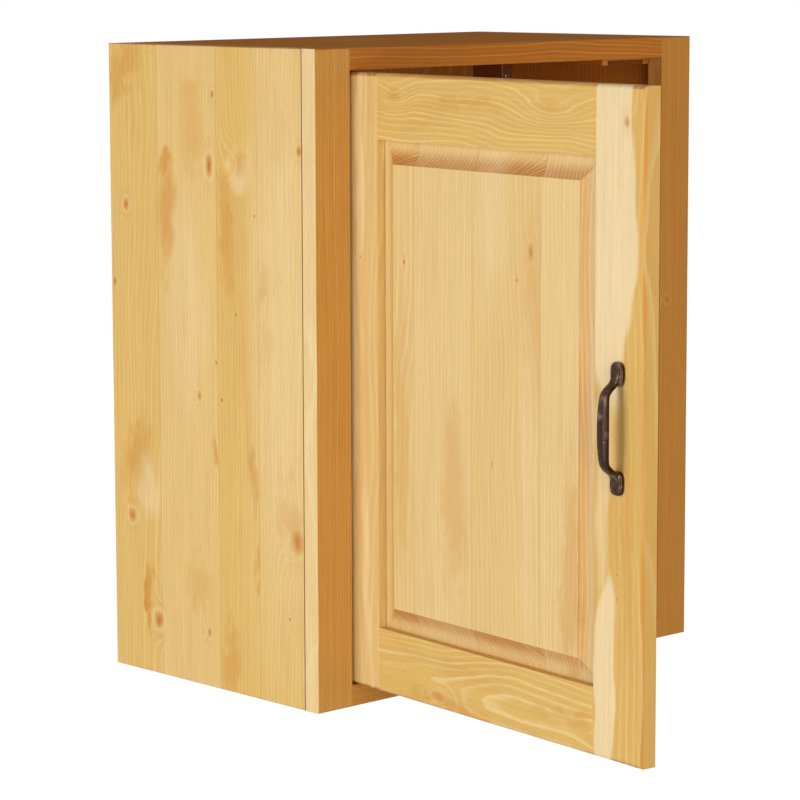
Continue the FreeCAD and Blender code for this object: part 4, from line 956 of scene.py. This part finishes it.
def through(stations: Sequence[Vector], steps: int) -> list[Vector]:
    """A smooth run through the stations.

    Args:
        stations: Points with any number of values each.
        steps: How many steps lie between two stations.

    Returns:
        The points of the run, the stations among them.
    """
    padded = [stations[0] * 2 - stations[1], *stations, stations[-1] * 2 - stations[-2]]
    run = []
    for first, start, end, last in zip(padded, padded[1:], padded[2:], padded[3:]):
        for step in range(steps):
            share = step / steps
            run.append(0.5 * (start * 2 + (end - first) * share
                              + (first * 2 - start * 5 + end * 4 - last) * share ** 2
                              + (start * 3 - first - end * 3 + last) * share ** 3))
    return [*run, stations[-1]]


# ---------------------------------------------------------------- handle

@dataclass
class BowHandle:
    """The cast bow handle, in millimetres: z along it and height above the door."""

    middle: Triple = (445.1, -11.85, 360.0)
    bow: tuple[tuple[float, float, float, float], ...] = (
        (0.0, 20.2, 13.6, 8.4), (14.0, 20.0, 13.2, 8.2), (28.0, 19.2, 11.6, 7.6),
        (34.0, 17.9, 10.4, 7.2), (38.0, 15.2, 9.6, 7.0), (41.0, 11.6, 9.4, 6.8),
        (43.8, 8.0, 9.8, 6.4), (48.0, 5.6, 10.4, 5.4), (53.0, 4.6, 10.6, 3.8),
        (57.5, 3.6, 8.4, 2.2))
    section: tuple[tuple[float, float], ...] = (
        (0.0, 0.5), (0.22, 0.48), (0.4, 0.42), (0.47, 0.33), (0.5, 0.1), (0.48, -0.2),
        (0.38, -0.4), (0.2, -0.49), (0.0, -0.5), (-0.2, -0.49), (-0.38, -0.4), (-0.48, -0.2),
        (-0.5, 0.1), (-0.47, 0.33), (-0.4, 0.42), (-0.22, 0.48))
    foot_half_long: float = 12.25
    foot_half_wide: float = 9.0
    foot_centre: float = 53.75
    squareness: float = 0.66
    foot_rings: tuple[tuple[float, float], ...] = (
        (0.0, 0.2), (1.8, 0.0), (3.2, 0.2), (4.2, 0.8), (4.8, 1.8), (4.9, 3.0), (4.5, 4.2),
        (4.3, 6.0))
    grain: float = 0.4

    def bow_places(self) -> list[Matrix]:
        """The places of the bow's section from the lower foot to the upper one."""
        half = through([Vector(station) for station in self.bow], 5)
        lower = [Vector((-station[0], *station[1:])) for station in reversed(half[1:])]
        run = lower + half
        places = []
        for index, station in enumerate(run):
            ahead = run[min(index + 1, len(run) - 1)] - run[max(index - 1, 0)]
            heading = Vector((0.0, -ahead[1], ahead[0])).normalized()
            out = Vector((0.0, -heading.z, heading.y))
            turn = Matrix((RIGHT * station[2], out * station[3], -heading)).transposed()
            places.append(Matrix.Translation(Vector((0.0, -station[1], station[0]))) @ turn.to_4x4())
        return places

    def foot_places(self, side: int) -> list[Matrix]:
        """The places of a foot's oval from the door outwards; side is -1 for the lower foot."""
        turn = Matrix.Rotation(math.radians(90), 4, "X")
        places = []
        for height, inset in self.foot_rings:
            grow = Matrix.Diagonal((self.foot_half_wide - inset, self.foot_half_long - inset,
                                    1.0, 1.0))
            spot = Matrix.Translation(Vector((0.0, -height, side * self.foot_centre)))
            places.append(spot @ turn @ grow)
        return places

    def build(self, bronze: bpy.types.Material) -> None:
        """Cast the handle in one piece.

        Args:
            bronze: Its finish.
        """
        form = bmesh.new()
        sweep(form, [Vector((*point, 0.0)) for point in self.section], self.bow_places())
        oval = [Vector((math.copysign(abs(math.cos(turn)) ** self.squareness, math.cos(turn)),
                        math.copysign(abs(math.sin(turn)) ** self.squareness, math.sin(turn)), 0.0))
                for turn in (math.radians(9 * step + 4.5) for step in range(40))]
        for side in (-1, 1):
            sweep(form, oval, self.foot_places(side))
        bmesh.ops.recalc_face_normals(form, faces=form.faces)
        made = finished(form, "bow_handle")
        cast = made.modifiers.new("cast", "REMESH")
        cast.mode, cast.voxel_size, cast.use_smooth_shade = "VOXEL", self.grain, True
        polish = made.modifiers.new("polish", "SMOOTH")
        polish.factor, polish.iterations = 0.5, 5
        settled(made)
        made.data.transform(DOOR_PLACE @ Matrix.Scale(MM, 4) @ Matrix.Translation(
            Vector(self.middle)))
        made.data.materials.append(bronze)
        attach(made, "door")
        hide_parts("handle")
        log.info("%s: %d faces", made.name, len(made.data.polygons))


# ---------------------------------------------------------------- screws and felt

class Head(Enum):
    """The form of a screw's head."""

    SUNK = "countersunk"
    PAN = "pan"
    GRUB = "grub"


@dataclass(frozen=True)
class Screw:
    """One kind of cross-recess screw, in millimetres. Its head's bearing level is at 0."""

    head: Head
    head_radius: float
    head_tall: float
    radius: float
    length: float
    thread: float = 1.5

    def outline(self) -> list[tuple[float, float]]:
        """Radius and depth from the middle of the head to the point."""
        if self.head is Head.SUNK:
            top = [(0.0, 0.0), (self.head_radius - 0.25, 0.0), (self.head_radius, 0.15),
                   (self.head_radius, 0.3), (self.radius, self.head_tall)]
        elif self.head is Head.PAN:
            tall = self.head_tall
            top = [(0.0, -tall), (self.head_radius * 0.5, -tall),
                   (self.head_radius * 0.82, -tall * 0.85), (self.head_radius * 0.97, -tall * 0.5),
                   (self.head_radius, -tall * 0.12), (self.head_radius - 0.2, 0.0),
                   (self.radius, 0.0)]
        else:
            top = [(0.0, 0.0), (self.radius - 0.5, 0.0), (self.radius, 0.5)]
        run = list(top)
        depth = top[-1][1] + self.thread
        while depth + self.thread < self.length - self.radius:
            run += [(self.radius, depth), (self.radius * 0.74, depth + self.thread * 0.5)]
            depth += self.thread
        end = 0.5 if self.head is not Head.SUNK else 0.0
        return [*run, (self.radius, self.length - self.radius * 1.2),
                (self.radius * end, self.length), (0.0, self.length)]

    def top(self) -> float:
        """The depth of the head's outer face."""
        return -self.head_tall if self.head is Head.PAN else 0.0

    def build(self, name: str) -> bpy.types.Object:
        """Turn one screw about its axis and press the cross into its head.

        Args:
            name: The name of the object.

        Returns:
            The screw, pointing along +Z from the origin, in millimetres.
        """
        form = bmesh.new()
        run = [form.verts.new((radius, 0.0, depth)) for radius, depth in self.outline()]
        edges = [form.edges.new(pair) for pair in zip(run, run[1:])]
        bmesh.ops.spin(form, geom=[*run, *edges], cent=(0.0, 0.0, 0.0), axis=(0.0, 0.0, 1.0),
                       angle=math.tau, steps=24, use_merge=True)
        bmesh.ops.remove_doubles(form, verts=form.verts, dist=0.001)
        bmesh.ops.recalc_face_normals(form, faces=form.faces)
        screw = finished(form, name)
        punch = self.punch(f"{name}_punch")
        press = screw.modifiers.new("recess", "BOOLEAN")
        press.operation, press.solver, press.object = "DIFFERENCE", "EXACT", punch
        settled(screw)
        bpy.data.objects.remove(punch)
        return screw

    def punch(self, name: str) -> bpy.types.Object:
        """The tapered cross that makes the recess."""
        reach = self.head_radius * 0.55
        arm = [(0.22, 0.22), (0.22, 1.0), (-0.22, 1.0)]
        cross = [Matrix.Rotation(math.radians(90 * turn + 17), 3, "Z") @ Vector((*corner, 0.0))
                 for turn in range(4) for corner in arm]
        places = [Matrix.Translation(Vector((0.0, 0.0, self.top() + depth * reach)))
                  @ Matrix.Scale(reach * grow, 4) for depth, grow in ((-0.5, 1.1), (0.9, 0.4))]
        form = bmesh.new()
        sweep(form, cross, places)
        bmesh.ops.recalc_face_normals(form, faces=form.faces)
        return finished(form, name)


@dataclass(frozen=True)
class ScrewSet:
    """Screws of one kind that stand for one carried-over node."""

    node: str
    body: str
    screw: Screw
    points: tuple[Triple, ...]
    headings: tuple[Triple, ...]
    slot: str = "bright_steel"

    def build(self, metal: bpy.types.Material) -> None:
        """Drive the screws in.

        Args:
            metal: Their finish.
        """
        pattern = self.screw.build(f"{self.node}_pattern")
        frame_place = DOOR_PLACE if self.body == "door" else CABINET_PLACE
        form = bmesh.new()
        for index, point in enumerate(self.points):
            heading = Vector(self.headings[index % len(self.headings)])
            turn = heading.to_track_quat("Z", "Y").to_matrix().to_4x4()
            before = set(form.verts)
            form.from_mesh(pattern.data)
            own = [corner for corner in form.verts if corner not in before]
            spin = Matrix.Rotation(math.radians(37 * index), 4, "Z")
            bmesh.ops.transform(form, matrix=frame_place @ Matrix.Scale(MM, 4)
                                @ Matrix.Translation(Vector(point)) @ turn @ spin, verts=own)
        bpy.data.objects.remove(pattern)
        made = finished(form, f"{self.node}_driven")
        made.data.materials.append(metal)
        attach(made, self.body)
        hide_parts(self.node)
        log.info("%s: %d screws", made.name, len(self.points))


@dataclass
class Fittings:
    """All screws, and the felt strip of the door stop. Lengths are in millimetres."""

    hinge_heights: tuple[float, float] = (126.0, 594.0)
    opening: float = 250.0
    plate_y: float = -293.0

    def at_hinges(self, x: float, y: float, shift: float) -> tuple[Triple, ...]:
        """Points above and below both hinges."""
        return tuple((x, y, height + side * shift) for height in self.hinge_heights
                     for side in (-1, 1))

    def screw_sets(self) -> list[ScrewSet]:
        """The screws of every node that holds some."""
        sunk = {length: Screw(Head.SUNK, 3.5, 2.0, 1.75, length)
                for length in (13.0, 18.0, 24.0, 28.0, 40.0)}
        inwards, outwards = (-1.0, 0.0, 0.0), (1.0, 0.0, 0.0)
        arm = tuple((-self.opening + 4.8, self.plate_y + shift, height)
                    for height in self.hinge_heights for shift in (-10.5, 10.5))
        hangers = tuple((side * 262.0, -63.0, height) for side in (-1, 1)
                        for height in (684.4, 649.6))
        adjusters = tuple((side * 270.5, -77.5, height) for side in (-1, 1)
                          for height in (667.0, 645.0))
        return [
            ScrewSet("hinge_plate_screws", "cabinet", sunk[18.0],
                     self.at_hinges(-self.opening + 2.4, self.plate_y, 16.0), (inwards,)),
            ScrewSet("hinge_block_screws", "cabinet", sunk[40.0],
                     self.at_hinges(-self.opening, -279.5, 31.0), (inwards,)),
            ScrewSet("hinge_arm_screws", "cabinet", Screw(Head.PAN, 4.0, 2.4, 2.2, 7.2, 0.9), arm,
                     (inwards,)),
            ScrewSet("hinge_cup_screws", "door", sunk[13.0], self.at_hinges(16.1, 9.35, 24.0),
                     ((0.0, -1.0, 0.0),)),
            ScrewSet("handle_screws", "door", Screw(Head.PAN, 4.0, 2.2, 2.0, 27.9, 0.8),
                     ((445.1, 8.15, 312.0), (445.1, 8.15, 408.0)), ((0.0, -1.0, 0.0),),
                     "antique_bronze"),
            ScrewSet("hanger_fixing_screws", "cabinet", sunk[28.0], hangers,
                     (inwards, inwards, outwards, outwards)),
            ScrewSet("hanger_adjusting_screws", "cabinet", Screw(Head.GRUB, 4.0, 0.0, 4.0, 11.5, 1.2),
                     adjusters, ((0.0, 1.0, 0.0),)),
            ScrewSet("door_stop_screws", "cabinet", sunk[24.0],
                     ((233.2, -309.0, 688.5), (185.8, -309.0, 688.5)), ((0.0, 0.0, 1.0),)),
        ]

    def felt_strip(self, felt: bpy.types.Material) -> None:
        """The thin strip of felt on the door stop, rounded at its edges and slightly uneven."""
        low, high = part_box("door_stop_pad")
        form = bmesh.new()
        bmesh.ops.create_cube(form, size=1.0)
        bmesh.ops.scale(form, vec=high - low, verts=form.verts)
        bmesh.ops.translate(form, vec=(low + high) / 2, verts=form.verts)
        long_edges = [edge for edge in form.edges if edge.calc_length() > 0.03]
        bmesh.ops.subdivide_edges(form, edges=long_edges, cuts=40, use_grid_fill=True)
        sharp = [edge for edge in form.edges if edge.calc_face_angle(0.0) > 0.5]
        bmesh.ops.bevel(form, geom=sharp, offset=0.00022, segments=2, profile=0.5,
                        affect="EDGES", material=-1)
        dice = random.Random(5)
        for corner in form.verts:
            if corner.co.y < (low.y + high.y) / 2:
                corner.co.y += dice.uniform(0.0, 0.00008)
        made = finished(form, "door_stop_felt", smooth=True)
        made.data.materials.append(felt)
        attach(made, "cabinet")
        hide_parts("door_stop_pad")

    def build(self, metals: dict[str, bpy.types.Material], felt: bpy.types.Material) -> None:
        """Fit all screws and the felt.

        Args:
            metals: The finishes of the screws by their slots.
            felt: The finish of the felt.
        """
        for screws in self.screw_sets():
            screws.build(metals[screws.slot])
        self.felt_strip(felt)


# ---------------------------------------------------------------- studio

@dataclass(frozen=True)
class Softbox:
    """A soft lamp: where it hangs, where it points, its width and height, power and colour."""

    name: str
    place: Triple
    target: Triple
    wide: float
    tall: float
    power: float
    colour: Triple = (1.0, 1.0, 1.0)

    def hang(self) -> None:
        """Put the lamp in the scene."""
        data = bpy.data.lights.new(self.name, "AREA")
        data.shape = "RECTANGLE"
        data.size, data.size_y = self.wide, self.tall
        data.energy = self.power
        data.color = self.colour
        lamp = bpy.data.objects.new(self.name, data)
        bpy.context.scene.collection.objects.link(lamp)
        lamp.location = self.place
        heading = Vector(self.target) - Vector(self.place)
        lamp.rotation_euler = heading.to_track_quat("-Z", "Y").to_euler()


@dataclass
class Studio:
    """Camera, lamps, a pale floor well below the hung cabinet and white surroundings."""

    eye: Triple = (-2.552731, -2.837296, 0.147046)
    heading: float = 42.326
    tilt: float = 7.598
    roll: float = -0.33
    focal_pixels: float = 3159.32
    axis_pixel: tuple[float, float] = (325.33, 368.39)
    frame_pixels: float = 800.0
    floor_height: float = -2.08
    ambient: float = 0.24
    softboxes: tuple[Softbox, ...] = (
        Softbox("key_left", (-3.3, 0.1, -0.1), (-0.22, -0.5, -0.32), 1.2, 3.0, 58.0),
        Softbox("fill_left", (-1.7, -3.4, 0.0), (-0.3, -0.35, -0.3), 1.6, 2.4, 48.0,
                (1.0, 0.93, 0.82)),
        Softbox("fill_right", (1.6, -3.2, 0.0), (0.1, -0.35, -0.3), 2.0, 2.2, 17.0,
                (1.0, 0.88, 0.72)),
    )

    def camera(self) -> None:
        """Set up the camera of the photograph."""
        data = bpy.data.cameras.new("camera")
        data.sensor_width = 36.0
        data.lens = self.focal_pixels / self.frame_pixels * data.sensor_width
        data.shift_x = (self.frame_pixels / 2 - self.axis_pixel[0]) / self.frame_pixels
        data.shift_y = (self.axis_pixel[1] - self.frame_pixels / 2) / self.frame_pixels
        data.clip_start, data.clip_end = 0.05, 200.0
        camera = bpy.data.objects.new("camera", data)
        bpy.context.scene.collection.objects.link(camera)
        camera.matrix_world = (
            Matrix.Translation(Vector(self.eye))
            @ Matrix.Rotation(math.radians(-self.heading), 4, "Z")
            @ Matrix.Rotation(math.radians(90 - self.tilt), 4, "X")
            @ Matrix.Rotation(math.radians(self.roll), 4, "Z"))
        bpy.context.scene.camera = camera

    def white_share(self, sheet: NodeSheet) -> Socket:
        """1 for the rays that see the surroundings themselves, 0 for those that light."""
        rays = sheet.add("LightPath", {}).outputs
        seen = sheet.most(rays["Is Camera Ray"], rays["Is Glossy Ray"])
        return sheet.most(seen, rays["Is Transmission Ray"])

    def surroundings(self) -> None:
        """White to look at, and a low even light."""
        world = bpy.data.worlds.new("white_studio")
        bpy.context.scene.world = world
        world.use_nodes = True
        sheet = NodeSheet(world.node_tree)
        world.node_tree.nodes.clear()
        lit = sheet.add("Background", {"Color": (1.0, 0.97, 0.93, 1.0), "Strength": self.ambient})
        seen = sheet.add("Background", {"Color": (1.0, 1.0, 1.0, 1.0), "Strength": 1.0})
        mixed = sheet.add("MixShader", {0: self.white_share(sheet), 1: lit.outputs[0],
                                        2: seen.outputs[0]})
        sheet.add("OutputWorld", {0: mixed.outputs[0]})

    def floor(self) -> None:
        """A round pale floor that keeps the object's shadow."""
        form = bmesh.new()
        bmesh.ops.create_circle(form, cap_ends=True, segments=96, radius=14.0)
        bmesh.ops.translate(form, verts=form.verts, vec=Vector((0.0, 0.0, self.floor_height)))
        floor = finished(form, "studio_floor")
        material, sheet, shader = new_material("pale_floor")
        place = sheet.add("TexCoord", {}).outputs["Object"]
        grit = sheet.noise(place, 40.0, 3.0).outputs[0]
        sheet.tree.links.new(sheet.blend(grit, tint(244, 244, 243), tint(250, 250, 249)),
                             shader.inputs["Base Color"])
        shader.inputs["Roughness"].default_value = 0.9
        glow = sheet.add("Emission", {"Color": (1.0, 1.0, 1.0, 1.0), "Strength": 1.08})
        share = sheet.times(self.white_share(sheet), 0.94)
        mixed = sheet.add("MixShader", {0: share, 1: shader.outputs[0], 2: glow.outputs[0]})
        sheet.tree.links.new(mixed.outputs[0],
                             material.node_tree.nodes["Material Output"].inputs["Surface"])
        floor.data.materials.append(material)

    def build(self) -> None:
        """Set up the whole studio."""
        bpy.context.scene.view_settings.view_transform = "Standard"
        self.camera()
        self.surroundings()
        self.floor()
        for softbox in self.softboxes:
            softbox.hang()
        log.info("studio: camera, floor and %d lamps", len(self.softboxes))


STEEL_NODES = ("left_hanger_hook", "right_hanger_hook", "shelf_pins", "lower_hinge_plate",
               "upper_hinge_plate", "lower_hinge_arm", "upper_hinge_arm", "lower_hinge_cup",
               "upper_hinge_cup", "lower_hinge_pin", "upper_hinge_pin")
PLASTIC_NODES = ("left_hanger_housing", "right_hanger_housing")


def main() -> None:
    """Build the scene."""
    logging.basicConfig(level=logging.INFO, format="%(name)s: %(message)s")
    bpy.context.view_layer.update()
    Studio().build()
    Boards(WaxedSpruce(WoodNodes())).dress()
    steel = BrightSteel().material()
    for name in STEEL_NODES:
        dress_node(name, steel)
    plastic = BrownPlastic().material()
    for name in PLASTIC_NODES:
        dress_node(name, plastic)
    bronze = AntiqueBronze().material()
    BowHandle().build(bronze)
    Fittings().build({"bright_steel": steel, "antique_bronze": bronze}, PressedFelt().material())


if __name__ == "__main__":
    main()
